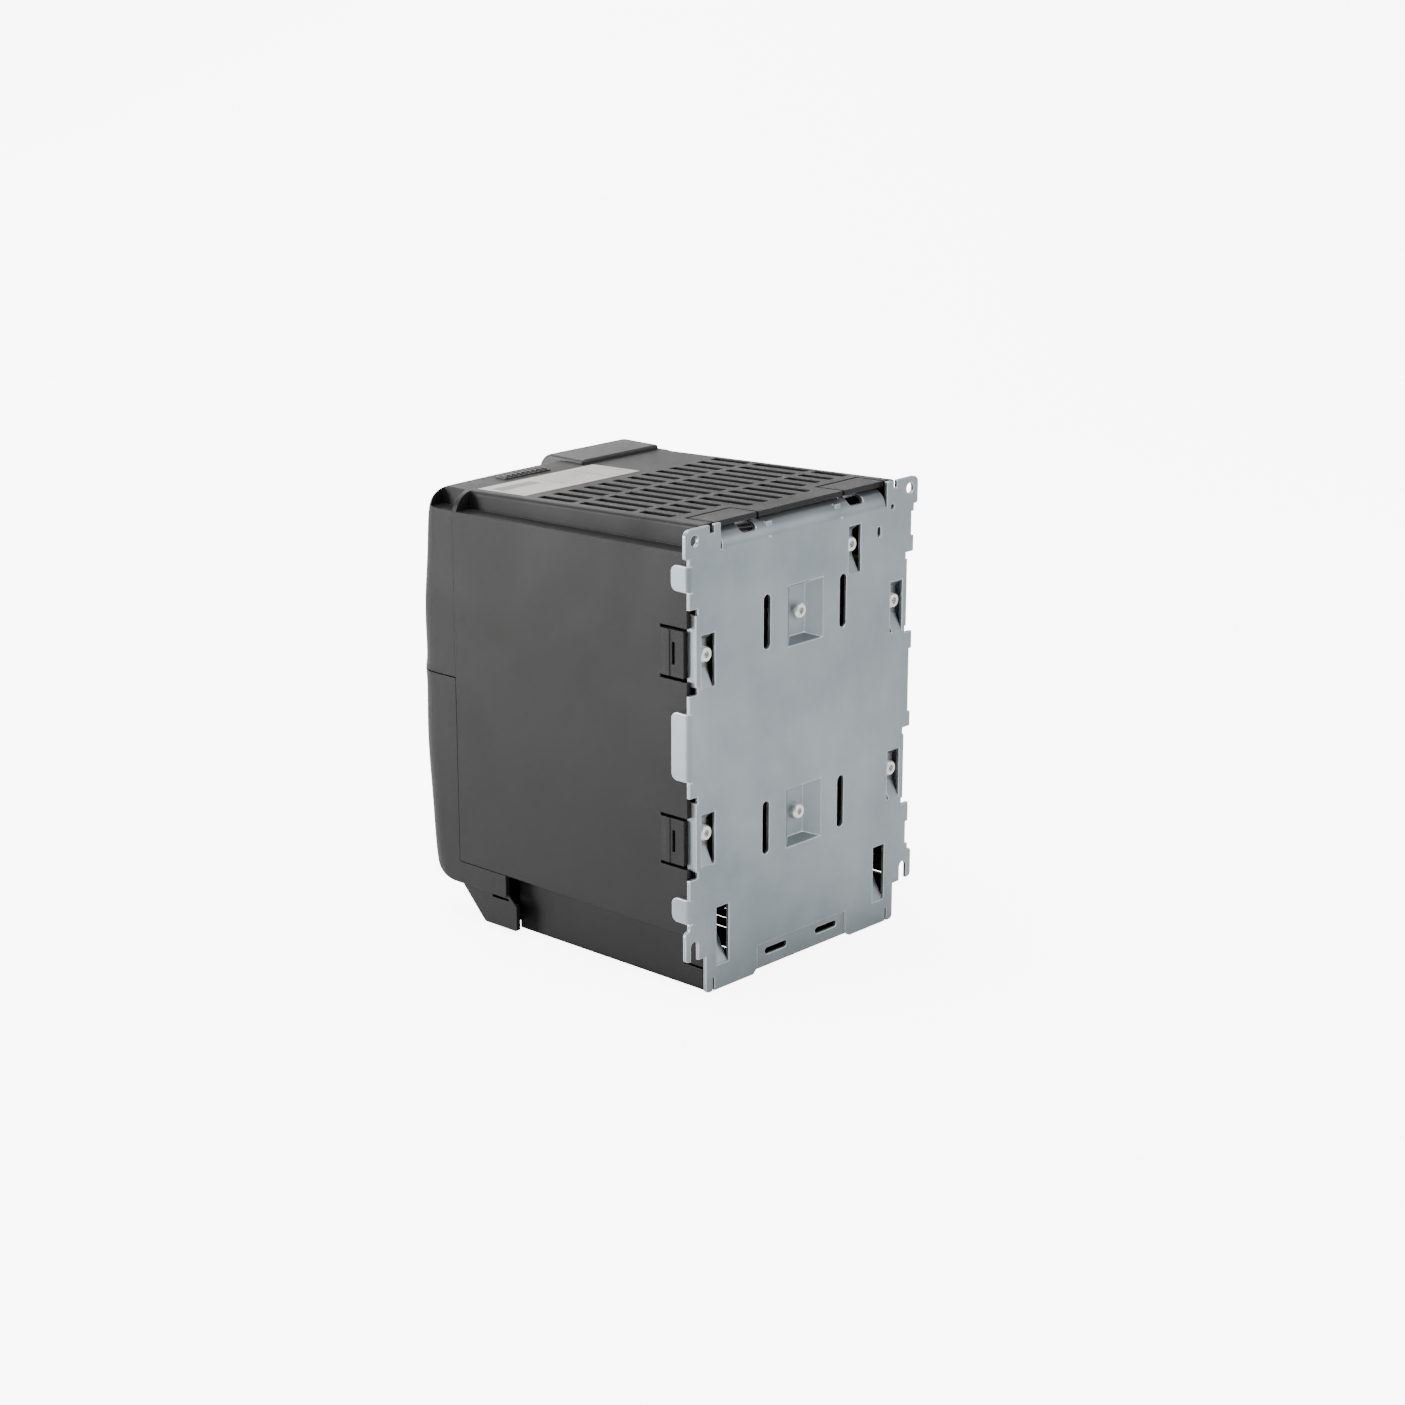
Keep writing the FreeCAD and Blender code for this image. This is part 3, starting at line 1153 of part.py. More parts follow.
def link_sockets():
    """Two edge sockets for the card that joins the boards."""
    z0, z1 = LINK_Z
    front = board_front()
    slit = BOARD / 2 + FIT / 2
    rear = box(LINK_X - 3, LINK_X + 3, front - 8, front, z0 - 2, z1 + 2).cut(
        box(LINK_X - slit, LINK_X + slit, front - 9, front - 2, z0 - FIT, z1 + FIT))
    end = CONTROL_BOARD_REAR + 7.0
    fore = box(LINK_X - 3, LINK_X + 3, CONTROL_BOARD_REAR, end, z0 - 2, z1 + 2).cut(
        box(LINK_X - slit, LINK_X + slit, CONTROL_BOARD_REAR + 1.5, end + 1, z0 - FIT, z1 + FIT))
    return [rear, fore]


def link_card():
    """Small card standing between the power board and the control board."""
    z0, z1 = LINK_Z
    return box(LINK_X - BOARD / 2, LINK_X + BOARD / 2, CONTROL_BOARD_REAR + 1.6, board_front() - 2.1, z0, z1)


def peg_places():
    """Where the control board rests on the carrier."""
    x0, x1 = CONTROL_BOARD_X
    z0, z1 = CONTROL_BOARD_Z
    return [(x, z) for x in (x0 + 5, x1 - 5) for z in (z0 + 5, z1 - 5)]


def electronics_carrier():
    """Plastic frame across the housing that the control board sits on."""
    z0, z1 = CARRIER_Z
    half = CARRIER_HALF
    front = CARRIER_REAR - CARRIER
    corners = [(-half, z0, 3.0), (half, z0, 3.0), (half, z1, 3.0), (-half, z1, 3.0)]
    plate = prism(corners, "xz", front, CARRIER_REAR)
    rim = prism(corners, "xz", front - 2.0, front).cut(
        box(-half + 2, half - 2, front - 3, front + 1, z0 + 2, z1 - 2))
    pegs = [rod((x, CONTROL_BOARD_REAR, z), 3.2, front - CONTROL_BOARD_REAR + 0.5, (0, 1, 0))
            for x, z in peg_places()]
    stays = [box(x - 1, x + 1, front - 2.0, front + 0.5, z0 + 3, z1 - 3) for x in (-25.0, 25.0)]
    body = join([plate, rim] + pegs + stays)
    cuts = [rod((x, CONTROL_BOARD_REAR - 1, z), M3 / 2 + FIT, 12, (0, 1, 0)) for x, z in peg_places()]
    cuts.append(box(LINK_X - 4, LINK_X + 4, front - 5, CARRIER_REAR + 1, LINK_Z[0] - 3, LINK_Z[1] + 3))
    for side in (-1, 1):
        for z in carrier_screw_heights():
            cuts.append(rod((side * (half - 2.0), front - 5, z), M3 / 2 + FIT, 12, (0, 1, 0)))
            cuts.append(rod((side * (half - 2.0), front - 5, z), 3.0, 5, (0, 1, 0)))
    for row in range(4):
        for x in (-36.0, -12.0, 12.0, 36.0):
            z = z0 + 22 + row * 22
            if abs(x) > 30 and row in (1, 2):
                continue
            cuts.append(slot(x, z, 14.0, 6.0, front - 5, CARRIER_REAR + 1, upright=False))
    return body.cut(cuts).removeSplitter()


def carrier_screws():
    """Screws that hold the carrier in the housing."""
    front = CARRIER_REAR - CARRIER
    places = [(side * (CARRIER_HALF - 2.0), z) for side in (-1, 1) for z in carrier_screw_heights()]
    return board_screws(places, front, 4.5)


def control_board():
    """Control circuit board."""
    x0, x1 = CONTROL_BOARD_X
    z0, z1 = CONTROL_BOARD_Z
    corners = [(x0, z0, 1.5), (x1, z0, 1.5), (x1, z1, 1.5), (x0, z1, 1.5)]
    board = prism(corners, "xz", CONTROL_BOARD_REAR - BOARD, CONTROL_BOARD_REAR)
    bores = [rod((x, CONTROL_BOARD_REAR - 9, z), M3 / 2 + FIT, 20, (0, 1, 0)) for x, z in peg_places()]
    return board.cut(bores)


def control_front():
    """Depth of the control board's front face."""
    return CONTROL_BOARD_REAR - BOARD


def control_chips():
    """Processor, memory, driver and small parts on the control board."""
    front = control_front()
    chips = []
    for x, z, wide, high, tall in ((-20, 30, 16, 16, 1.6), (4, 34, 10, 8, 1.4), (4, 20, 10, 8, 1.4),
                                   (24, 30, 8, 12, 1.8), (-40, 10, 9, 9, 4.0), (-20, 6, 12, 7, 1.6),
                                   (14, 2, 12, 7, 1.6), (34, 8, 6, 10, 3.0)):
        chips.append(box(x - wide / 2, x + wide / 2, front - tall, front, z - high / 2, z + high / 2))
    for x, z in ((-50, 44), (-50, 54), (36, 48), (46, 40)):
        chips.append(rod((x, front, z), 3.1, 7.0, (0, -1, 0)))
    return chips


def control_terminals():
    """Two-step pluggable terminal strip for the control wires."""
    front = control_front()
    z0 = CONTROL_BOARD_Z[0]
    body = join([box(-46, 40, front - 9, front, z0, z0 + 8),
                 box(-46, 40, front - 15, front, z0 + 8, z0 + 17)])
    cuts = []
    for index in range(17):
        x = -43.2 + index * 5.0
        for z, deep in ((z0 + 4, 9), (z0 + 12.5, 15)):
            cuts.append(rod((x, front - deep - 1, z + 1.6), 1.5, 6, (0, 1, 0)))
            cuts.append(box(x - 1.3, x + 1.3, front - deep - 1, front - deep + 6, z - 3.0, z - 0.6))
    return body.cut(cuts).removeSplitter()


def control_terminal_screws():
    """Small screws of the control terminals."""
    front = control_front()
    z0 = CONTROL_BOARD_Z[0]
    screws = []
    for index in range(17):
        x = -43.2 + index * 5.0
        for z, deep in ((z0 + 4, 9), (z0 + 12.5, 15)):
            pin = rod((x, front - deep + 1.2, z + 1.6), 1.45, 3.79, (0, 1, 0))
            nick = box(x - 1.2, x + 1.2, front - deep, front - deep + 1.9, z + 1.3, z + 1.9)
            screws.append(pin.cut(nick))
    return screws


def dip_switch_body():
    """Body of the two-way setting switch with its windows."""
    front = control_front()
    body = box(DIP_X - 4.2, DIP_X + 4.2, front - 4.0, front, DIP_Z - 4.5, DIP_Z + 4.5)
    for x in dip_places():
        body = body.cut(box(x - 1.0, x + 1.0, front - 5, front - 1.5, DIP_Z - 2.3, DIP_Z + 2.3))
    return body


def dip_places():
    """Middles of the two sliders."""
    return (DIP_X - DIP_PITCH / 2, DIP_X + DIP_PITCH / 2)


def dip_slider(index):
    """One setting slider, at the lower end of its window."""
    x = dip_places()[index]
    front = control_front()
    low = DIP_Z - 2.0
    return box(x - 0.8, x + 0.8, front - 4.8, front - 1.6, low, low + 2.0)


def panel_socket():
    """Socket on the control board that the panel plugs into, with its riser."""
    front = control_front()
    middle = sum(PANEL_X) / 2
    z = PANEL_BOTTOM + 11.0
    tower = box(middle - 7.6, middle + 7.6, PANEL_BACK + 1.2, front, z - 3.2, z + 3.2)
    return tower.cut(box(middle - 6.2, middle + 6.2, PANEL_BACK, PANEL_BACK + 6, z - 1.6, z + 1.6))


# ---- fan ----
def fan_duct():
    """Collector on top of the heat sink that the fan sits on."""
    z0 = SINK_TOP
    z1 = SINK_TOP + DUCT_HEIGHT
    front = FAN_Y - FAN_SIZE / 2
    rear = FAN_Y + FAN_SIZE / 2
    outer = box(-SINK_HALF, SINK_HALF, front, rear, z0, z1)
    inner = box(-SINK_HALF + 1.8, SINK_HALF - 1.8, front + 1.8, rear - 1.8, z0 + 1.6, z1 - 1.8)
    over_fins = box(-SINK_HALF + 1.8, SINK_HALF - 1.8, SINK_BASE_FRONT + SINK_BASE, rear - 1.8,
                    z0 - 1, z0 + 2)
    lug = box(TOP_SCREW[0] - 5, TOP_SCREW[0] + 5, rear, -STRIP_DEPTH - SHEET, z0 + 2, TOP_SCREW[1] + 5)
    eye = rod((0, FAN_Y, z1 - 3), FAN_SIZE / 2 - 2.5, 6, (0, 0, 1))
    bores = [rod((x, y, z1 - 3), 1.5, 6, (0, 0, 1)) for x, y in fan_screw_places()]
    pilot = rod((TOP_SCREW[0], -30, TOP_SCREW[1]), M4 / 2 + FIT, 40, (0, 1, 0))
    return join([outer.cut([inner, over_fins, eye] + bores), lug]).cut(pilot).removeSplitter()


def fan_screw_places():
    """Corners where the fan is fastened."""
    reach = FAN_SIZE / 2 - 4.0
    return [(sx * reach, FAN_Y + sy * reach) for sx in (-1, 1) for sy in (-1, 1)]


def fan_frame():
    """Square fan frame with struts that carry the motor hub."""
    z0 = SINK_TOP + DUCT_HEIGHT
    z1 = z0 + FAN_HEIGHT
    half = FAN_SIZE / 2
    corners = [(-half, FAN_Y - half, 3.0), (half, FAN_Y - half, 3.0), (half, FAN_Y + half, 3.0),
               (-half, FAN_Y + half, 3.0)]
    body = prism(corners, "xy", z0, z1).cut(rod((0, FAN_Y, z0 - 1), half - 1.5, FAN_HEIGHT + 2, (0, 0, 1)))
    hub = rod((0, FAN_Y, z0), 11.0, 4.0, (0, 0, 1))
    struts = []
    for turn in (30, 150, 270):
        strut = box(9, half - 1, -1.5, 1.5, 0, 2.6)
        strut.rotate(V(0, 0, 0), V(0, 0, 1), turn)
        strut.translate(V(0, FAN_Y, z0))
        struts.append(strut)
    post = rod((0, FAN_Y, z0 + 3.5), 3.2, 7.0, (0, 0, 1)).cut(rod((0, FAN_Y, z0), 1.5 + FIT, 20, (0, 0, 1)))
    cuts = [rod((x, y, z0 - 1), 1.6, FAN_HEIGHT + 2, (0, 0, 1)) for x, y in fan_screw_places()]
    cuts.append(rod((0, FAN_Y, z0 + 1.5), 1.5 + FIT, 20, (0, 0, 1)))
    return join([body, hub, post] + struts).cut(cuts).removeSplitter()


def fan_impeller():
    """Hub cap, seven twisted blades and the shaft in one moulding."""
    z0 = SINK_TOP + DUCT_HEIGHT
    cap_z = z0 + 4.6
    tall = FAN_HEIGHT - 6.0
    cap = rod((0, FAN_Y, cap_z), 12.0, tall, (0, 0, 1))
    cap = cap.cut(rod((0, FAN_Y, cap_z - 1), 10.8, tall - 0.4, (0, 0, 1)))
    shaft = rod((0, FAN_Y, z0 + 2.0), 1.5, cap_z + tall - z0 - 2.5, (0, 0, 1))
    blades = []
    tip = FAN_SIZE / 2 - 1.5 - IMPELLER_CLEARANCE
    for index in range(7):
        low = Part.makePolygon([V(11.5, -6.5, 0), V(tip - 2.0, -8.5, 0), V(tip - 2.0, -6.9, 0),
                                V(11.5, -5.3, 0),
                                V(11.5, -6.5, 0)])
        high = Part.makePolygon([V(11.5, 4.2, tall - 2), V(tip - 2.0, 7.0, tall - 2),
                                 V(tip - 2.0, 8.4, tall - 2),
                                 V(11.5, 5.4, tall - 2), V(11.5, 4.2, tall - 2)])
        blade = Part.makeLoft([low, high], True, True)
        blade.rotate(V(0, 0, 0), V(0, 0, 1), index * 360 / 7)
        blade.translate(V(0, FAN_Y, cap_z + 1))
        blades.append(blade)
    envelope = rod((0, FAN_Y, z0), tip, FAN_HEIGHT, (0, 0, 1))
    return join([cap, shaft] + blades).common(envelope).removeSplitter()


def fan_guard():
    """Wire-pattern guard plate on top of the fan."""
    z1 = SINK_TOP + DUCT_HEIGHT + FAN_HEIGHT
    half = FAN_SIZE / 2
    rings = []
    for radius in (10.0, 17.0, 24.0):
        ring = rod((0, FAN_Y, z1), radius + 0.8, 1.2, (0, 0, 1))
        ring = ring.cut(rod((0, FAN_Y, z1 - 1), radius - 0.8, 4, (0, 0, 1)))
        rings.append(ring)
    bars = []
    for turn in (45, 135, 225, 315):
        bar = box(8, math.hypot(half - 4, half - 4), -0.9, 0.9, 0, 1.2)
        bar.rotate(V(0, 0, 0), V(0, 0, 1), turn)
        bar.translate(V(0, FAN_Y, z1))
        bars.append(bar)
    eyes = [rod((x, y, z1), 3.4, 1.2, (0, 0, 1)) for x, y in fan_screw_places()]
    cuts = [rod((x, y, z1 - 1), 1.6, 4, (0, 0, 1)) for x, y in fan_screw_places()]
    return join(rings + bars + eyes).cut(cuts).removeSplitter()


def fan_screws():
    """Long screws through the guard and the fan into the duct."""
    z1 = SINK_TOP + DUCT_HEIGHT + FAN_HEIGHT + 1.2
    length = FAN_HEIGHT + 3.4
    return [socket_screw((x, y, z1), (0, 0, -1), 2.8, length, 2.6, 1.6) for x, y in fan_screw_places()]


def air_baffle():
    """Plastic wall that keeps the cooling air in the fins below the fan."""
    return box(-SINK_HALF, SINK_HALF, SINK_BASE_FRONT - 0.0, SINK_BASE_FRONT + SINK_BASE, SINK_BOTTOM - 18.0,
               SINK_BOTTOM).cut([box(x - 5, x + 5, -60, -30, SINK_BOTTOM - 14, SINK_BOTTOM - 6)
                                 for x in (-30, 0, 30)])


# ---- output ----
def main_nodes():
    """All sub-parts by name."""
    power_front = board_front()
    return {
        "back_plate": [back_plate()],
        "plate_screws": plate_screws(),
        "housing": [housing()],
        "upper_front_cover": [upper_front_cover()],
        "terminal_cover": [terminal_cover()],
        "rating_label": [rating_label()],
        "panel_latch": [panel_latch()],
        "latch_springs": latch_springs(),
        "display_panel_body": [display_panel()],
        "display_window": [display_window()],
        "display_module": [display_module()],
        "membrane_keypad": [membrane_keypad()],
        "heatsink": [heatsink()],
        "air_baffle": [air_baffle()],
        "igbt_module": [igbt_module()],
        "rectifier_module": [rectifier_module()],
        "module_screws": module_screws(),
        "board_standoffs": standoffs(),
        "power_board": [power_board()],
        "power_board_screws": board_screws(standoff_places(), power_front, 5.0),
        "dc_link_capacitors": dc_link_capacitors(),
        "choke_base": [choke_base()],
        "choke_core": [choke_core()],
        "choke_winding": choke_winding(),
        "film_capacitors": film_capacitors(),
        "relays": relays(),
        "transformer_core": [supply_transformer()],
        "transformer_bobbin": [transformer_bobbin()],
        "power_terminal_block": [power_terminal_block()],
        "terminal_clamps": terminal_clamps(),
        "terminal_screws": terminal_screws(),
        "emc_clip": [emc_clip()],
        "emc_screw": [emc_screw()],
        "link_sockets": link_sockets(),
        "link_card": [link_card()],
        "electronics_carrier": [electronics_carrier()],
        "carrier_screws": carrier_screws(),
        "control_board": [control_board()],
        "control_board_screws": board_screws(peg_places(), control_front(), 4.6),
        "control_chips": control_chips(),
        "control_terminals": [control_terminals()],
        "control_terminal_screws": control_terminal_screws(),
        "dip_switch_body": [dip_switch_body()],
        "dip_slider_1": [dip_slider(0)],
        "dip_slider_2": [dip_slider(1)],
        "panel_socket": [panel_socket()],
        "fan_duct": [fan_duct()],
        "fan_frame": [fan_frame()],
        "fan_impeller": [fan_impeller()],
        "fan_guard": [fan_guard()],
        "fan_screws": fan_screws(),
    }


os.makedirs("parts", exist_ok=True)
for node, shapes in main_nodes().items():
    save(node, shapes)
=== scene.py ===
import math

import bpy
import numpy as np
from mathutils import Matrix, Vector
from mathutils.bvhtree import BVHTree


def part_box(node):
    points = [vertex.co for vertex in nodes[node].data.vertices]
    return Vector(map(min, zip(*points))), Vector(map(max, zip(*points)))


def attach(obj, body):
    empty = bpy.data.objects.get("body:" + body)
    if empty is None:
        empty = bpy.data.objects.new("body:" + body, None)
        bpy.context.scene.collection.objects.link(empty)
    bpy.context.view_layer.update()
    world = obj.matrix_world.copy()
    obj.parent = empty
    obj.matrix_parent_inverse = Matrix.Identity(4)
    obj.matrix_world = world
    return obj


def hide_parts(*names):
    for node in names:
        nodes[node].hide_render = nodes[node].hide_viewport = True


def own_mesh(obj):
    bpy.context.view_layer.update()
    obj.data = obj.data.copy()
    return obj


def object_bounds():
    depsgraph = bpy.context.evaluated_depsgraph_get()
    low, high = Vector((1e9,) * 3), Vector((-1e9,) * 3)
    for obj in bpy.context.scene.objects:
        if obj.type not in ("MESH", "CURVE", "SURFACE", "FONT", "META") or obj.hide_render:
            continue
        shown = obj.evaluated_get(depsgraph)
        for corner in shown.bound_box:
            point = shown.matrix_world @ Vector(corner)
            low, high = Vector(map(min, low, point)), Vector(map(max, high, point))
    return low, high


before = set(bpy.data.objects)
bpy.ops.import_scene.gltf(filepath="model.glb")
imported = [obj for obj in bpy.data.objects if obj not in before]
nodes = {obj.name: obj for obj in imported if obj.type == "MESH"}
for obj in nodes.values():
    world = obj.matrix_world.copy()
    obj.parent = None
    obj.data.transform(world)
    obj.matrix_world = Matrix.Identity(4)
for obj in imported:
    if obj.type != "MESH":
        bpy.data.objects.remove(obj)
cad_low, cad_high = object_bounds()


# Back plate: one blank of galvanised sheet, punched and folded. The zinc is cool grey and slightly
# cloudy, and its cut and folded edges are painted near white, a painted highlight where the bends catch the
# light.

def group_sockets(group, inputs, outputs):
    """Gives a node group its named inputs, each with a starting value, and its named outputs."""
    for label, kind, value in inputs:
        socket = group.interface.new_socket(label, in_out="INPUT", socket_type=kind)
        socket.default_value = value
    for label, kind in outputs:
        group.interface.new_socket(label, in_out="OUTPUT", socket_type=kind)
    return group.nodes.new("NodeGroupInput"), group.nodes.new("NodeGroupOutput")


def node_with(tree, kind, **settings):
    """Adds a node and sets its plain properties."""
    node = tree.nodes.new(kind)
    for label, value in settings.items():
        setattr(node, label, value)
    return node


def rounded_edges_group():
    """Normal of a softly rounded edge, and a mask that is 1 on the sharpest edges and 0 on flats.

    The mask is one minus the dot product of the rounded normal and the true normal, stretched.
    """
    group = bpy.data.node_groups.new("rounded_edges", "ShaderNodeTree")
    inside, outside = group_sockets(
        group,
        [("Radius", "NodeSocketFloat", 0.0004), ("Spread", "NodeSocketFloat", 0.12)],
        [("Normal", "NodeSocketVector"), ("Edge", "NodeSocketFloat")],
    )
    bevel = node_with(group, "ShaderNodeBevel", samples=6)
    geometry = group.nodes.new("ShaderNodeNewGeometry")
    product = node_with(group, "ShaderNodeVectorMath", operation="DOT_PRODUCT")
    turned_away = node_with(group, "ShaderNodeMath", operation="SUBTRACT")
    turned_away.inputs[0].default_value = 1.0
    stretch = node_with(group, "ShaderNodeMath", operation="DIVIDE", use_clamp=True)
    group.links.new(inside.outputs["Radius"], bevel.inputs["Radius"])
    group.links.new(bevel.outputs["Normal"], product.inputs[0])
    group.links.new(geometry.outputs["Normal"], product.inputs[1])
    group.links.new(product.outputs["Value"], turned_away.inputs[1])
    group.links.new(turned_away.outputs[0], stretch.inputs[0])
    group.links.new(inside.outputs["Spread"], stretch.inputs[1])
    group.links.new(bevel.outputs["Normal"], outside.inputs["Normal"])
    group.links.new(stretch.outputs[0], outside.inputs["Edge"])
    return group


def mottle_group():
    """Two sizes of soft noise in object space: a broad cloud and a fine grain, both from 0 to 1."""
    group = bpy.data.node_groups.new("mottle", "ShaderNodeTree")
    inside, outside = group_sockets(
        group,
        [("Cloud Scale", "NodeSocketFloat", 30.0), ("Grain Scale", "NodeSocketFloat", 1500.0),
         ("Stretch", "NodeSocketVector", (1.0, 1.0, 1.0))],
        [("Cloud", "NodeSocketFloat"), ("Grain", "NodeSocketFloat"), ("Smudge", "NodeSocketFloat")],
    )
    place = group.nodes.new("ShaderNodeTexCoord")
    scaled = node_with(group, "ShaderNodeVectorMath", operation="MULTIPLY")
    group.links.new(place.outputs["Object"], scaled.inputs[0])
    group.links.new(inside.outputs["Stretch"], scaled.inputs[1])
    for label, source, detail, rough in (("Cloud", "Cloud Scale", 4.0, 0.55),
                                         ("Grain", "Grain Scale", 3.0, 0.6)):
        noise = group.nodes.new("ShaderNodeTexNoise")
        noise.inputs["Detail"].default_value = detail
        noise.inputs["Roughness"].default_value = rough
        group.links.new(scaled.outputs[0], noise.inputs["Vector"])
        group.links.new(inside.outputs[source], noise.inputs["Scale"])
        group.links.new(noise.outputs["Fac"], outside.inputs[label])
    smudge = group.nodes.new("ShaderNodeTexNoise")
    smudge.inputs["Scale"].default_value = 11.0
    smudge.inputs["Detail"].default_value = 2.0
    smudge.inputs["Distortion"].default_value = 1.2
    group.links.new(place.outputs["Object"], smudge.inputs["Vector"])
    group.links.new(smudge.outputs["Fac"], outside.inputs["Smudge"])
    return group


ROUNDED_EDGES = rounded_edges_group()
MOTTLE = mottle_group()


def mapped(tree, value, low, high, to_low, to_high):
    """Stretches a 0 to 1 value from one range to another."""
    node = tree.nodes.new("ShaderNodeMapRange")
    for label, number in (("From Min", low), ("From Max", high), ("To Min", to_low), ("To Max", to_high)):
        node.inputs[label].default_value = number
    tree.links.new(value, node.inputs["Value"])
    return node.outputs["Result"]


def mixed(tree, share, first, second):
    """Blends two colours, or a colour socket and a colour, by a share from 0 to 1."""
    node = node_with(tree, "ShaderNodeMix", data_type="RGBA")
    for socket, colour in ((node.inputs[6], first), (node.inputs[7], second)):
        if isinstance(colour, bpy.types.NodeSocket):
            tree.links.new(colour, socket)
        else:
            socket.default_value = (*colour, 1.0)
    tree.links.new(share, node.inputs[0])
    return node.outputs[2]


def finish(name, low, high, rough=(0.4, 0.6), metallic=0.0, cloud=30.0, grain=1500.0, relief=0.1,
           depth=0.00005, edge_r=0.0003, edge_colour=None, edge_share=0.4, stretch=(1.0, 1.0, 1.0),
           specular=0.5, coat=0.0):
    """A solid finish: cloudy colour between two tones, fine grain relief, softly rounded edges painted
    paler, partly as wear and partly as a painted highlight.
    """
    material = bpy.data.materials.new(name)
    material.use_nodes = True
    tree = material.node_tree
    shader = tree.nodes["Principled BSDF"]
    mottle = node_with(tree, "ShaderNodeGroup", node_tree=MOTTLE)
    mottle.inputs["Cloud Scale"].default_value = cloud
    mottle.inputs["Grain Scale"].default_value = grain
    mottle.inputs["Stretch"].default_value = stretch
    edges = node_with(tree, "ShaderNodeGroup", node_tree=ROUNDED_EDGES)
    edges.inputs["Radius"].default_value = edge_r
    tone = mixed(tree, mapped(tree, mottle.outputs["Cloud"], 0.3, 0.7, 0.0, 1.0), low, high)
    # Edges are painted paler towards the edge colour: partly wear, partly a painted highlight on the rounded
    # edges.
    wear_and_highlight = mapped(tree, edges.outputs["Edge"], 0.25, 1.0, 0.0, edge_share)
    edge_tone = edge_colour or tuple(min(1.0, channel * 1.5 + 0.02) for channel in high)
    tree.links.new(mixed(tree, wear_and_highlight, tone, edge_tone), shader.inputs["Base Color"])
    tree.links.new(mapped(tree, mottle.outputs["Smudge"], 0.3, 0.7, *rough), shader.inputs["Roughness"])
    bump = tree.nodes.new("ShaderNodeBump")
    bump.inputs["Strength"].default_value = relief
    bump.inputs["Distance"].default_value = depth
    tree.links.new(mottle.outputs["Grain"], bump.inputs["Height"])
    tree.links.new(edges.outputs["Normal"], bump.inputs["Normal"])
    tree.links.new(bump.outputs["Normal"], shader.inputs["Normal"])
    shader.inputs["Metallic"].default_value = metallic
    shader.inputs["Specular IOR Level"].default_value = specular
    shader.inputs["Coat Weight"].default_value = coat
    return material


def dress(material, *names):
    """Puts one finish on CAD nodes."""
    for name in names:
        for holder in nodes[name].material_slots:
            holder.material = material


# The near-white edge colour is a painted highlight along the cut and folded edges of the sheet.
zinc = finish("zinc_sheet", (0.205, 0.240, 0.260), (0.290, 0.325, 0.348), rough=(0.32, 0.5), metallic=0.78,
              cloud=22.0, grain=900.0, relief=0.12, depth=0.00008, edge_r=0.0009,
              edge_colour=(0.80, 0.82, 0.83), edge_share=0.9)
dress(zinc, "back_plate")


# Plate screws and the small fasteners inside: zinc-plated steel, turned and socketed, brighter and
# smoother than the sheet.

plated = finish("plated_steel", (0.62, 0.62, 0.60), (0.76, 0.76, 0.74), rough=(0.22, 0.36), metallic=1.0,
                cloud=160.0, grain=2600.0, relief=0.1, depth=0.00003, edge_r=0.0002,
                edge_colour=(0.95, 0.95, 0.94), edge_share=0.6)
dress(plated, "plate_screws", "module_screws", "power_board_screws", "carrier_screws",
      "control_board_screws",
      "fan_screws", "terminal_screws", "control_terminal_screws", "terminal_clamps", "emc_screw",
      "fan_guard")


# Housing and front covers: dark grey moulded plastic with a fine spark-eroded grain, painted slightly
# paler along its edges, partly as handling wear and partly as a painted highlight on the rounded edges.

housing_plastic = finish("housing_plastic", (0.0080, 0.0077, 0.0078), (0.0120, 0.0117, 0.0118),
                         rough=(0.42, 0.55),
                         cloud=14.0, grain=2400.0, relief=0.35, depth=0.00012, edge_r=0.00045,
                         edge_colour=(0.05, 0.049, 0.05), edge_share=0.5, specular=0.2)
dress(housing_plastic, "housing", "upper_front_cover", "terminal_cover")


# Operating panel: a darker moulded body that clips on the upper cover, with a clear window, a black
# display behind it and an embossed grey foil keypad.

panel_plastic = finish("panel_plastic", (0.0085, 0.0085, 0.009), (0.0125, 0.0125, 0.013), rough=(0.42, 0.55),
                       cloud=20.0, grain=2600.0, relief=0.25, depth=0.0001, edge_r=0.0004,
                       edge_colour=(0.12, 0.12, 0.125), edge_share=0.45)
dress(panel_plastic, "display_panel_body")
latch_plastic = finish("latch_plastic", (0.010, 0.010, 0.0105), (0.015, 0.015, 0.0155), rough=(0.38, 0.5),
                       cloud=60.0, grain=2400.0, relief=0.2, depth=0.0001, edge_r=0.00025,
                       edge_colour=(0.2, 0.2, 0.205), edge_share=0.6)
dress(latch_plastic, "panel_latch")
keypad_foil = finish("keypad_foil", (0.045, 0.050, 0.056), (0.060, 0.066, 0.073), rough=(0.35, 0.45),
                     cloud=50.0,
                     grain=3200.0, relief=0.15, depth=0.00005, edge_r=0.00035,
                     edge_colour=(0.14, 0.15, 0.16), edge_share=0.5)
dress(keypad_foil, "membrane_keypad")
display_black = finish("display_black", (0.012, 0.012, 0.014), (0.02, 0.02, 0.022), rough=(0.2, 0.3),
                       cloud=60.0,
                       grain=2000.0, relief=0.05)
dress(display_black, "display_module")


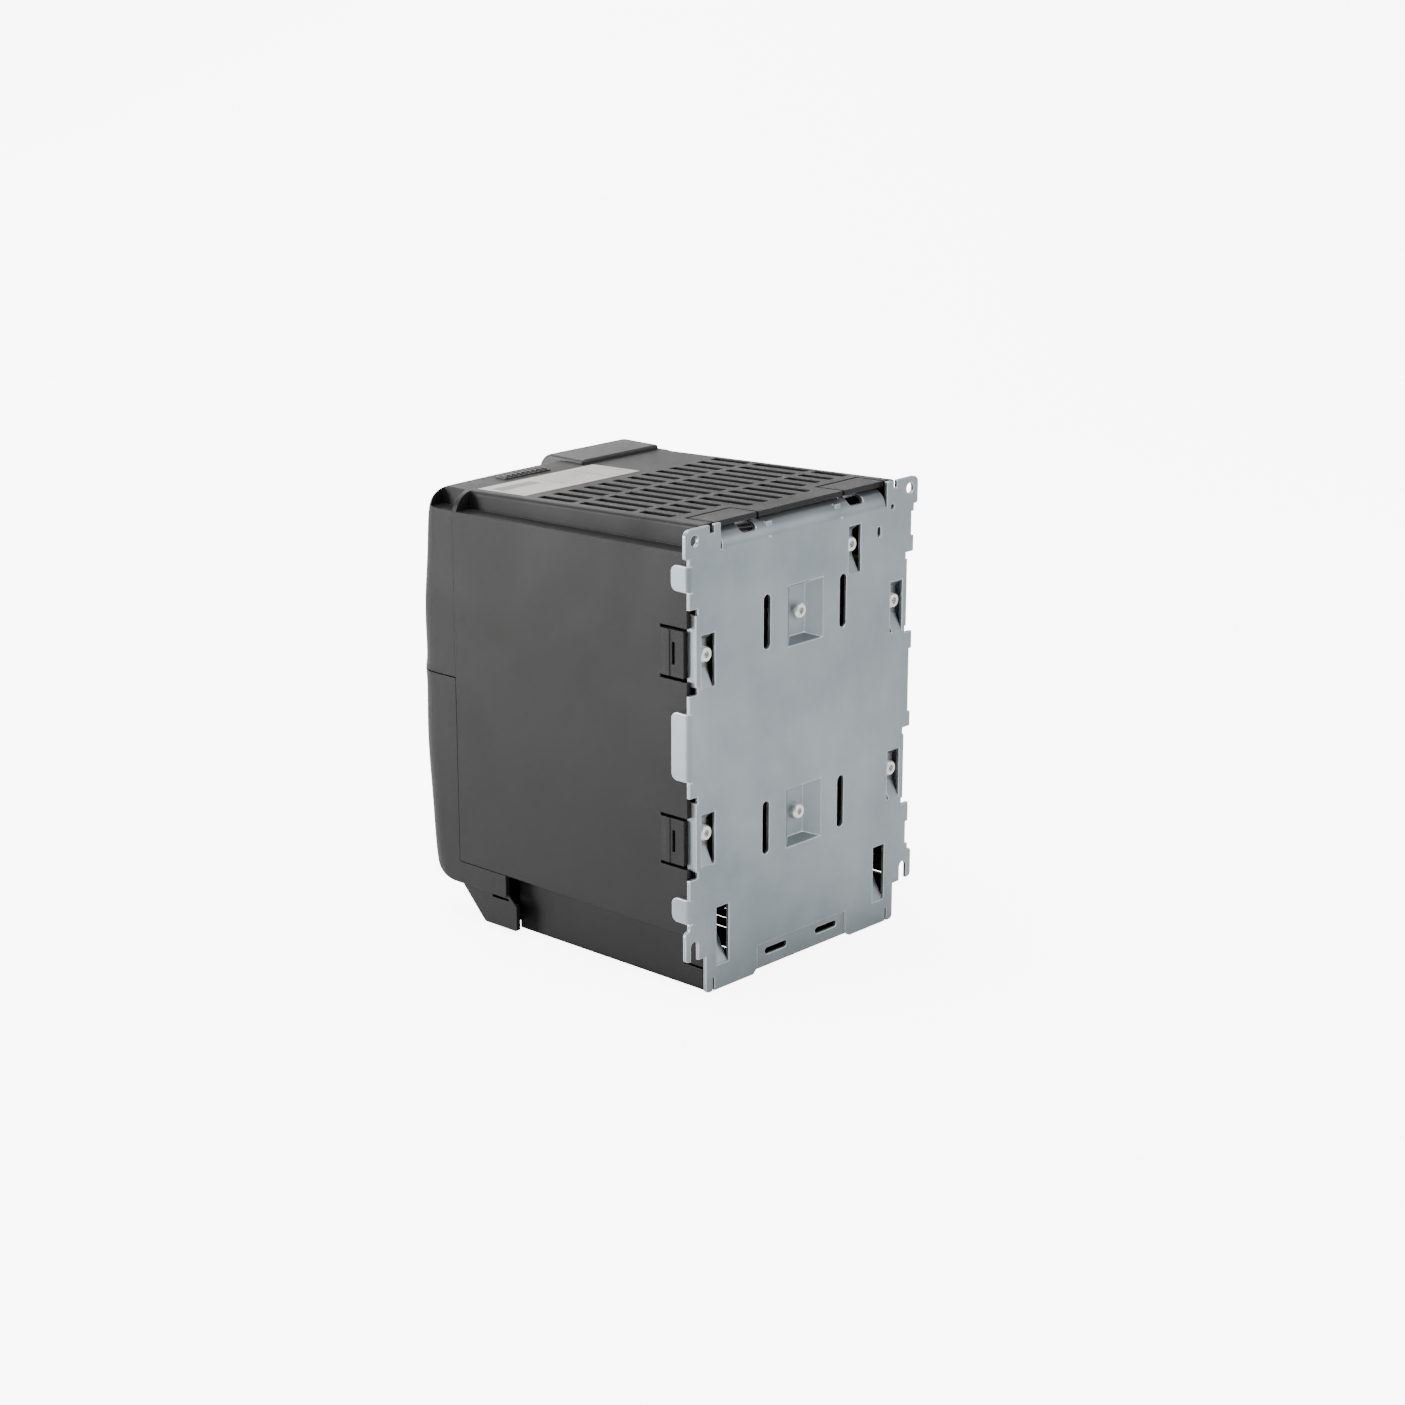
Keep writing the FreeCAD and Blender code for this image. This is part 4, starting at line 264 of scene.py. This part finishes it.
def clear_window():
    """Slightly smoked clear plastic with a faintly uneven surface."""
    material = bpy.data.materials.new("clear_window")
    material.use_nodes = True
    tree = material.node_tree
    shader = tree.nodes["Principled BSDF"]
    shader.inputs["Base Color"].default_value = (0.75, 0.78, 0.8, 1.0)
    shader.inputs["Transmission Weight"].default_value = 0.9
    shader.inputs["IOR"].default_value = 1.49
    mottle = node_with(tree, "ShaderNodeGroup", node_tree=MOTTLE)
    tree.links.new(mapped(tree, mottle.outputs["Smudge"], 0.3, 0.7, 0.03, 0.12), shader.inputs["Roughness"])
    bump = tree.nodes.new("ShaderNodeBump")
    bump.inputs["Strength"].default_value = 0.03
    bump.inputs["Distance"].default_value = 0.00005
    tree.links.new(mottle.outputs["Cloud"], bump.inputs["Height"])
    tree.links.new(bump.outputs["Normal"], shader.inputs["Normal"])
    return material


dress(clear_window(), "display_window")


# Lit digits of the display: seven-segment bars that glow red behind the window.

def place_piece(name, body, slot, material, vertices, faces, smooth=True):
    """Makes an object from finished vertices and faces and lets it ride a body."""
    mesh = bpy.data.meshes.new(name)
    mesh.from_pydata(np.asarray(vertices).tolist(), [], [tuple(face) for face in faces])
    mesh.materials.append(material)
    if smooth:
        mesh.shade_smooth()
    piece = bpy.data.objects.new(name, mesh)
    bpy.context.scene.collection.objects.link(piece)
    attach(piece, body)
    return piece


def loop_faces(rings, sides, start):
    """Quads between closed rings of the same size, and one cap on the first ring and one on the last."""
    faces = []
    for ring in range(rings - 1):
        for side in range(sides):
            after = (side + 1) % sides
            low = start + ring * sides
            high = low + sides
            faces.append((low + side, low + after, high + after, high + side))
    faces.append(tuple(start + side for side in reversed(range(sides))))
    faces.append(tuple(start + (rings - 1) * sides + side for side in range(sides)))
    return faces


def printed_marks(outlines, place, thick):
    """Thin raised ink.

    Each outline goes anticlockwise in (u, v). Three rings are stacked: the outline at height 0, the
    outline at 70 % of the thickness, and the outline drawn 12 % towards its middle at full thickness.
    place(u, v, height) gives the point in space.
    """
    vertices = []
    faces = []
    for outline in outlines:
        points = np.array(outline)
        middle_point = points.mean(axis=0)
        start = len(vertices)
        for scale, height in ((1.0, 0.0), (1.0, 0.7 * thick), (0.88, thick)):
            ring = middle_point + (points - middle_point) * scale
            vertices += [place(u, v, height) for u, v in ring]
        faces += loop_faces(3, len(points), start)
    return vertices, faces


INK_LIFT = 0.00001
INK_THICK = 0.00004


def bar(u0, u1, v0, v1):
    """Outline of an upright bar."""
    return [(u0, v0), (u1, v0), (u1, v1), (u0, v1)]


def glow(name, colour, strength):
    """A lit colour with a slightly uneven brightness."""
    material = bpy.data.materials.new(name)
    material.use_nodes = True
    tree = material.node_tree
    shader = tree.nodes["Principled BSDF"]
    mottle = node_with(tree, "ShaderNodeGroup", node_tree=MOTTLE)
    mottle.inputs["Cloud Scale"].default_value = 700.0
    tree.links.new(mapped(tree, mottle.outputs["Cloud"], 0.3, 0.7, strength * 0.8, strength),
                   shader.inputs["Emission Strength"])
    tree.links.new(mapped(tree, mottle.outputs["Smudge"], 0.3, 0.7, 0.3, 0.45), shader.inputs["Roughness"])
    shader.inputs["Emission Color"].default_value = (*colour, 1.0)
    shader.inputs["Base Color"].default_value = (*colour, 1.0)
    return material


SEGMENTS = {"0": "abcdef", "5": "afgcd"}


def segment(kind, left, low, wide, tall, thick):
    """Six-cornered outline of one bar of a digit: a is the top bar, then clockwise, g the middle bar."""
    half = thick / 2
    level = {"a": tall, "g": tall / 2, "d": 0.0}
    if kind in level:
        z = low + level[kind]
        x0 = left + half * 0.4
        x1 = left + wide - half * 0.4
        return [(x0, z), (x0 + half, z - half), (x1 - half, z - half), (x1, z), (x1 - half, z + half),
                (x0 + half, z + half)]
    x = left + (wide if kind in "bc" else 0.0)
    z0 = low + (tall / 2 if kind in "bf" else 0.0) + half * 0.4
    z1 = z0 + tall / 2 - half * 0.8
    return [(x, z0), (x + half, z0 + half), (x + half, z1 - half), (x, z1), (x - half, z1 - half),
            (x - half, z0 + half)]


module_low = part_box("display_module")[0]
window_low, window_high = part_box("display_window")
DIGIT_WIDTH = 0.0055
DIGIT_HEIGHT = 0.009
DIGIT_PITCH = 0.0095
digit_left = (window_low[0] + window_high[0]) / 2 - 0.0135
digit_low = (window_low[2] + window_high[2]) / 2 - DIGIT_HEIGHT / 2


def on_display(u, v, height):
    """Point on the front of the display: u to the right, v up."""
    return u, module_low[1] - INK_LIFT - height, v


lit = []
for column, digit in enumerate("500"):
    for kind in SEGMENTS[digit]:
        lit.append(segment(kind, digit_left + column * DIGIT_PITCH, digit_low, DIGIT_WIDTH, DIGIT_HEIGHT,
                           0.0011))
place_piece("display_digits", "operator_panel", "display", glow("digit_glow", (1.0, 0.09, 0.03), 3.0),
            *printed_marks(lit, on_display, INK_THICK), smooth=False)


# Key symbols: ink printed on the keypad's embossed keys, a plain triangle, square or ring of bars each.

key_ink = finish("key_ink", (0.74, 0.75, 0.76), (0.82, 0.83, 0.84), rough=(0.45, 0.55), cloud=500.0,
                 grain=2600.0, relief=0.08)
run_ink = finish("run_ink", (0.03, 0.33, 0.10), (0.045, 0.40, 0.13), rough=(0.45, 0.55), cloud=500.0,
                 grain=2600.0, relief=0.08)
stop_ink = finish("stop_ink", (0.50, 0.03, 0.025), (0.58, 0.045, 0.035), rough=(0.45, 0.55), cloud=500.0,
                  grain=2600.0, relief=0.08)
keypad_low, keypad_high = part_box("membrane_keypad")
key_x = (keypad_low[0] + keypad_high[0]) / 2 + np.array([-0.0125, 0.0, 0.0125])
key_z = keypad_low[2] + np.array([0.00685, 0.01985])


def on_keys(u, v, height):
    """Point on the front of the keys: u to the right, v up."""
    return u, keypad_low[1] - INK_LIFT - height, v


def turned(outline, angle, x, z):
    """Outline turned about the origin and moved to a key."""
    c, s = math.cos(angle), math.sin(angle)
    return [(x + c * u - s * v, z + s * u + c * v) for u, v in outline]


triangle = [(-0.0018, -0.0013), (0.0018, -0.0013), (0.0, 0.0018)]
arrows = [turned(triangle, 0.0, key_x[0], key_z[1]), turned(triangle, math.pi, key_x[1], key_z[1]),
          turned(triangle, math.pi / 2, key_x[2], key_z[1]),
          turned([(-0.0004, -0.0018), (0.0004, -0.0018), (0.0004, 0.0018), (-0.0004, 0.0018)], 0.0,
                 key_x[2] + 0.0026, key_z[1]),
          turned([(0.0017 * math.cos(a), 0.0017 * math.sin(a)) for a in np.linspace(0, 2 * math.pi, 24,
                                                                                    False)],
                 0.0, key_x[1], key_z[0])]
place_piece("key_symbols", "operator_panel", "keypad", key_ink,
            *printed_marks(arrows, on_keys, INK_THICK), smooth=False)
place_piece("run_symbol", "operator_panel", "keypad", run_ink,
            *printed_marks([turned(triangle, -math.pi / 2, key_x[0], key_z[0])], on_keys, INK_THICK),
            smooth=False)
place_piece("stop_symbol", "operator_panel", "keypad", stop_ink,
            *printed_marks([turned(bar(-0.0015, 0.0015, -0.0015, 0.0015), 0.0, key_x[2], key_z[0])], on_keys,
                           INK_THICK), smooth=False)


# Rating label: blank silver-grey foil with a satin face.

label_foil = finish("label_foil", (0.33, 0.315, 0.305), (0.41, 0.395, 0.38), rough=(0.4, 0.5), metallic=0.25,
                    cloud=45.0, grain=1800.0, relief=0.06, depth=0.00004, edge_r=0.0001)
dress(label_foil, "rating_label")


ink = finish("label_ink", (0.10, 0.10, 0.105), (0.15, 0.15, 0.155), rough=(0.5, 0.6), cloud=400.0,
             grain=2400.0,
             relief=0.1)
label_low, label_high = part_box("rating_label")
TOP_FALL = 0.0058
TOP_DEPTH = 0.139
label_slope = TOP_FALL / TOP_DEPTH


def on_label(u, v, height):
    """Point on the sloping label: u to the right, v towards the wall."""
    return u, v, label_high[2] + (v - label_high[1]) * label_slope + INK_LIFT + height


RULE = 0.00022
rows = np.linspace(label_low[1] + 0.004, label_high[1] - 0.004, 8)
table = [bar(label_low[0] + 0.003, label_low[0] + 0.041, row, row + RULE) for row in rows]
table += [bar(x, x + RULE, rows[0], rows[-1]) for x in (label_low[0] + 0.0028, label_low[0] + 0.0165,
                                                          label_low[0] + 0.0412)]
widths = 0.00025 + 0.0004 * (np.sin(np.arange(26) * 2.4) > 0)
edges_of_bars = label_low[0] + 0.045 + np.cumsum(widths + 0.00045)
table += [bar(x - w, x, label_low[1] + 0.006, label_low[1] + 0.013) for x, w in zip(edges_of_bars, widths)]
place_piece("label_marks", "drive", "label_foil", ink, *printed_marks(table, on_label, 0.00003),
            smooth=False)


# Heat sink: extruded aluminium. The die leaves fine lines along its length.

extruded = finish("extruded_aluminium", (0.55, 0.56, 0.57), (0.66, 0.67, 0.68), rough=(0.3, 0.42),
                  metallic=1.0,
                  cloud=40.0, grain=1600.0, relief=0.3, depth=0.00006, stretch=(1.0, 1.0, 0.03),
                  edge_colour=(0.9, 0.9, 0.9), edge_share=0.5)
dress(extruded, "heatsink")


# Power stage and boards: moulded modules, laminate boards, wound parts and capacitors.

board_mask = finish("board_mask", (0.012, 0.085, 0.035), (0.02, 0.12, 0.05), rough=(0.25, 0.4), cloud=260.0,
                    grain=1400.0, relief=0.2, depth=0.00005, edge_colour=(0.35, 0.38, 0.2), edge_share=0.6,
                    coat=0.3)
dress(board_mask, "power_board", "control_board", "link_card")
moulded_epoxy = finish("moulded_epoxy", (0.03, 0.03, 0.032), (0.045, 0.045, 0.047), rough=(0.5, 0.62),
                       cloud=70.0,
                       grain=2600.0, relief=0.3)
dress(moulded_epoxy, "igbt_module", "rectifier_module", "control_chips")
brass = finish("turned_brass", (0.62, 0.45, 0.20), (0.72, 0.55, 0.27), rough=(0.25, 0.38), metallic=1.0,
               cloud=120.0, grain=2200.0, relief=0.12, stretch=(1.0, 0.05, 1.0), edge_r=0.0002)
dress(brass, "board_standoffs", "emc_clip")
can_sleeve = finish("can_sleeve", (0.014, 0.017, 0.028), (0.02, 0.024, 0.038), rough=(0.22, 0.34),
                    cloud=80.0,
                    grain=900.0, relief=0.08, edge_r=0.0006, edge_colour=(0.10, 0.11, 0.14))
dress(can_sleeve, "dc_link_capacitors")
ferrite = finish("ferrite", (0.045, 0.045, 0.047), (0.065, 0.064, 0.064), rough=(0.45, 0.6), cloud=140.0,
                 grain=1700.0, relief=0.4, edge_colour=(0.2, 0.2, 0.2))
dress(ferrite, "choke_core", "transformer_core")
enamel = finish("enamelled_copper", (0.42, 0.13, 0.045), (0.55, 0.20, 0.08), rough=(0.2, 0.32),
                metallic=0.85,
                cloud=200.0, grain=1200.0, relief=0.05, edge_r=0.00015, edge_colour=(0.75, 0.4, 0.2))
dress(enamel, "choke_winding")
film_case = finish("film_case", (0.50, 0.36, 0.07), (0.58, 0.43, 0.10), rough=(0.4, 0.5), cloud=60.0,
                   grain=2000.0,
                   relief=0.2, edge_r=0.0006)
dress(film_case, "film_capacitors")
relay_case = finish("relay_case", (0.03, 0.055, 0.12), (0.04, 0.07, 0.15), rough=(0.25, 0.35), cloud=60.0,
                    grain=1800.0, relief=0.12, edge_r=0.0005)
dress(relay_case, "relays")
tape = finish("bobbin_tape", (0.62, 0.48, 0.08), (0.70, 0.56, 0.12), rough=(0.3, 0.42), cloud=90.0,
              grain=700.0,
              relief=0.25, stretch=(0.2, 1.0, 0.2), edge_r=0.0006)
dress(tape, "transformer_bobbin")
filled_nylon = finish("filled_nylon", (0.10, 0.105, 0.11), (0.125, 0.13, 0.135), rough=(0.42, 0.55),
                      cloud=50.0,
                      grain=1700.0, relief=0.3, edge_r=0.0004)
dress(filled_nylon, "power_terminal_block")
black_nylon = finish("black_nylon", (0.02, 0.02, 0.021), (0.032, 0.032, 0.033), rough=(0.4, 0.55),
                     cloud=50.0,
                     grain=1800.0, relief=0.3, edge_r=0.0003)
dress(black_nylon, "link_sockets", "panel_socket", "electronics_carrier", "choke_base", "air_baffle",
      "fan_duct",
      "fan_frame", "fan_impeller")
green_nylon = finish("green_nylon", (0.04, 0.16, 0.07), (0.055, 0.2, 0.09), rough=(0.35, 0.48), cloud=50.0,
                     grain=1800.0, relief=0.2, edge_r=0.0003)
dress(green_nylon, "control_terminals")
switch_red = finish("switch_red", (0.40, 0.03, 0.02), (0.48, 0.045, 0.03), rough=(0.3, 0.4), cloud=90.0,
                    grain=2000.0, relief=0.15)
dress(switch_red, "dip_switch_body")
slider_white = finish("slider_white", (0.68, 0.68, 0.66), (0.75, 0.75, 0.73), rough=(0.3, 0.4), cloud=120.0,
                      grain=2000.0, relief=0.15)
dress(slider_white, "dip_slider_1", "dip_slider_2")
# Small parts on the boards: ceramic and film chips with tinned ends, reflowed on the laminate.

def pillow(centre, half, power, rows=10, columns=20):
    """Closed brick with soft edges.

    The surface is x = a*c(v)*c(u), y = b*s(v), z = d*c(v)*s(u), where c and s are cosine and sine with
    their size raised to a power below one, for v from -90 to 90 and u round 360 degrees.
    """
    v = np.linspace(-math.pi / 2, math.pi / 2, rows)[1:-1]
    u = np.linspace(0.0, 2 * math.pi, columns, endpoint=False)

    def bent(wave):
        return np.sign(wave) * np.abs(wave) ** power

    x = half[0] * bent(np.cos(v))[:, None] * bent(np.cos(u))[None, :]
    z = half[2] * bent(np.cos(v))[:, None] * bent(np.sin(u))[None, :]
    y = half[1] * bent(np.sin(v))[:, None] * np.ones(columns)[None, :]
    points = np.stack([x, y, z], axis=2).reshape(-1, 3) + np.array(centre)
    return points, rows - 2, columns


def pillows(places):
    """Many soft bricks in one mesh."""
    vertices = []
    faces = []
    for centre, half, power in places:
        points, rings, sides = pillow(centre, half, power)
        faces += [tuple(reversed(face)) for face in loop_faces(rings, sides, len(vertices))]
        vertices += points.tolist()
    return vertices, faces


others = {}
for name, node in nodes.items():
    others[name] = BVHTree.FromPolygons([v.co for v in node.data.vertices],
                                        [p.vertices for p in node.data.polygons])


def free_spots(board, side, pitch, room):
    """Grid points on one face of a board that stay clear of every other node by the room asked for."""
    low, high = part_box(board)
    level = low[1] - 0.0006 if side < 0 else high[1] + 0.0006
    spots = []
    for x in np.arange(low[0] + 0.005, high[0] - 0.005, pitch):
        for z in np.arange(low[2] + 0.005, high[2] - 0.005, pitch):
            point = Vector((x, level, z))
            near = [tree.find_nearest(point, room)[0] for name, tree in others.items() if name != board]
            hole = others[board].find_nearest(Vector((x, low[1] if side < 0 else high[1], z)))
            on_board = (hole[0] - Vector((x, low[1] if side < 0 else high[1], z))).length < 0.0001
            if on_board and all(found is None for found in near):
                spots.append((x, z))
    return spots


tinned = finish("tinned_ends", (0.58, 0.58, 0.57), (0.70, 0.70, 0.69), rough=(0.2, 0.35), metallic=1.0,
                cloud=700.0,
                grain=2600.0, relief=0.1)
ceramic = finish("chip_ceramic", (0.30, 0.21, 0.13), (0.38, 0.27, 0.17), rough=(0.4, 0.5), cloud=600.0,
                 grain=2600.0, relief=0.15)
film_black = finish("chip_film", (0.018, 0.018, 0.02), (0.03, 0.03, 0.032), rough=(0.35, 0.5), cloud=600.0,
                    grain=2600.0, relief=0.15)
for board in ("control_board", "power_board"):
    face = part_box(board)[0][1]
    chosen = [spot for count, spot in enumerate(free_spots(board, -1, 0.0062, 0.0026)) if count % 3 != 1]
    bodies = {0: [], 1: []}
    ends = []
    for count, (x, z) in enumerate(chosen):
        lying = count % 4 < 2
        reach = (0.00105, 0.0) if lying else (0.0, 0.00105)
        half = (0.0009, 0.0003, 0.00062) if lying else (0.00062, 0.0003, 0.0009)
        tip = (0.00028, 0.00034, 0.00066) if lying else (0.00066, 0.00034, 0.00028)
        bodies[count % 2].append(((x, face - 0.00034, z), half, 0.3))
        for sign in (-1, 1):
            ends.append(((x + sign * (reach[0] + 0.00016 * lying), face - 0.00035,
                          z + sign * (reach[1] + 0.00016 * (not lying))), tip, 0.3))
    place_piece(board + "_ceramic_chips", "drive", "chip_epoxy", ceramic, *pillows(bodies[0]))
    place_piece(board + "_film_chips", "drive", "chip_epoxy", film_black, *pillows(bodies[1]))
    place_piece(board + "_chip_ends", "drive", "chip_epoxy", tinned, *pillows(ends))


# Solder joints on the back of the power board: small cones of tin round the cut leads.

def solder_cones(spots, face, radius, height):
    """Cones with a hollow flank: at share s of the height the radius is radius * (1 - s) ** 1.8 + tip."""
    vertices = []
    faces = []
    turns = np.linspace(0.0, 2 * math.pi, 16, endpoint=False)
    for x, z in spots:
        start = len(vertices)
        for share in np.linspace(0.0, 1.0, 7):
            reach = radius * 0.82 * (1.0 - share) ** 1.8 + radius * 0.18
            level = face + 0.00001 + height * share
            vertices += [(x + reach * math.sin(turn), level, z + reach * math.cos(turn)) for turn in turns]
        faces += loop_faces(7, 16, start)
    return vertices, faces


board_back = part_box("power_board")[1][1]
cone_spots = [spot for count, spot in enumerate(free_spots("power_board", 1, 0.0074,
                                                           0.002)) if count % 2 == 0]
place_piece("solder_joints", "drive", "green_board", tinned,
            *solder_cones(cone_spots, board_back, 0.0011, 0.0009))


# Latch springs: two coils of spring steel wire under the latch, wound cold.

def coil_springs(centres_x, centre_y, low, high, coil_radius, wire_radius, turns):
    """Round wire along a helix.

    At turn t the middle of the wire is (r cos t, r sin t, low + rise t). Its ring is N cos a + B sin a times
    the wire radius, with N = (cos t, sin t, 0), B = T x N, and T the unit tangent.
    """
    t = np.linspace(0.0, 2 * math.pi * turns, 30 * turns + 1)
    a = np.linspace(0.0, 2 * math.pi, 10, endpoint=False)
    rise = (high - low - 2 * wire_radius) / t[-1]
    flat = np.column_stack([np.cos(t), np.sin(t), np.zeros(len(t))])
    tangent = np.column_stack([-coil_radius * np.sin(t), coil_radius * np.cos(t), np.full(len(t), rise)])
    tangent /= np.linalg.norm(tangent, axis=1)[:, None]
    side = np.cross(tangent, flat)
    middle_line = coil_radius * flat + np.column_stack([np.zeros((len(t), 2)), low + wire_radius + rise * t])
    ring = flat[:, None, :] * np.cos(a)[None, :, None] + side[:, None, :] * np.sin(a)[None, :, None]
    wire = (middle_line[:, None, :] + wire_radius * ring).reshape(-1, 3)
    vertices = []
    faces = []
    for x in centres_x:
        faces += loop_faces(len(t), len(a), len(vertices))
        vertices += (wire + np.array([x, centre_y, 0.0])).tolist()
    return vertices, faces


spring_wire = finish("spring_wire", (0.45, 0.45, 0.46), (0.55, 0.55, 0.56), rough=(0.25, 0.35), metallic=1.0,
                     cloud=300.0, grain=2600.0, relief=0.1)
dress(spring_wire, "latch_springs")
spring_low, spring_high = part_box("latch_springs")
spring_reach = 0.00215
spring_x = (spring_low[0] + spring_reach, spring_high[0] - spring_reach)
spring_y = (spring_low[1] + spring_high[1]) / 2
springs = place_piece("coil_springs", "drive", "spring_steel", spring_wire,
                      *coil_springs(spring_x, spring_y, spring_low[2], spring_high[2], 0.0019, 0.00025, 4))
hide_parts("latch_springs")
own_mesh(springs)


# Floor, light and camera.

def pale_floor(height):
    """A plain sheet under the object that curves up behind it: a quarter circle joins floor and wall."""
    reach = 4.0
    bend = 0.8
    turns = np.linspace(0.0, math.pi / 2, 16)
    along = np.concatenate([[-reach], 1.2 + bend * np.sin(turns), [1.2 + bend]])
    up = np.concatenate([[0.0], bend - bend * np.cos(turns), [4.0]])
    across = np.array([-reach, reach])
    angle = math.radians(132.63)
    forward = np.array([-math.sin(angle), math.cos(angle)])
    sideways = np.array([forward[1], -forward[0]])
    points = []
    for offset in across:
        flat = forward[None, :] * along[:, None] + sideways[None, :] * offset
        points.append(np.column_stack([flat, up + height]))
    vertices = np.concatenate(points)
    count = len(along)
    start = np.arange(count - 1)
    faces = np.column_stack([start, start + count, start + count + 1, start + 1])
    mesh = bpy.data.meshes.new("floor")
    mesh.from_pydata(vertices.tolist(), [], faces.tolist())
    floor = bpy.data.objects.new("floor", mesh)
    bpy.context.scene.collection.objects.link(floor)
    material = bpy.data.materials.new("floor_paper")
    material.use_nodes = True
    shader = material.node_tree.nodes["Principled BSDF"]
    shader.inputs["Base Color"].default_value = (0.86, 0.86, 0.86, 1.0)
    shader.inputs["Roughness"].default_value = 0.9
    shader.inputs["Emission Color"].default_value = (1.0, 1.0, 1.0, 1.0)
    path = material.node_tree.nodes.new("ShaderNodeLightPath")
    material.node_tree.links.new(mapped(material.node_tree, path.outputs["Is Camera Ray"], 0.0, 1.0, 0.0,
                                        7.0),
                                 shader.inputs["Emission Strength"])
    mesh.materials.append(material)
    mesh.shade_smooth()
    return floor


pale_floor(cad_low[2] - 0.0002)


def soft_light(name, place, aim, size, power):
    """A square area light that points from its place to a point."""
    data = bpy.data.lights.new(name, "AREA")
    data.size = size
    data.energy = power
    lamp = bpy.data.objects.new(name, data)
    bpy.context.scene.collection.objects.link(lamp)
    lamp.location = place
    lamp.rotation_euler = (Vector(aim) - Vector(place)).to_track_quat("-Z", "Y").to_euler()
    return lamp


middle = (cad_low + cad_high) / 2
soft_light("top_light", (0.25, -0.35, 1.3), middle, 1.0, 26.0)
soft_light("rear_light", (-0.6, 1.5, 0.7), middle, 0.9, 20.0)
soft_light("side_light", (1.3, -1.1, 0.14), middle, 0.6, 34.0)
soft_light("front_light", (-0.4, -1.4, 0.8), middle, 1.2, 16.0)

world = bpy.data.worlds.new("studio")
world.use_nodes = True
world.node_tree.nodes["Background"].inputs["Color"].default_value = (1.0, 1.0, 1.0, 1.0)
world.node_tree.nodes["Background"].inputs["Strength"].default_value = 0.55
bpy.context.scene.world = world

camera_data = bpy.data.cameras.new("camera")
camera_data.lens = 74.6
camera_data.sensor_width = 36.0
camera = bpy.data.objects.new("camera", camera_data)
bpy.context.scene.collection.objects.link(camera)
camera.location = (0.9048, 0.7738, 0.3537)
camera.rotation_euler = (math.radians(73.653), 0.0, math.radians(132.632))
bpy.context.scene.camera = camera
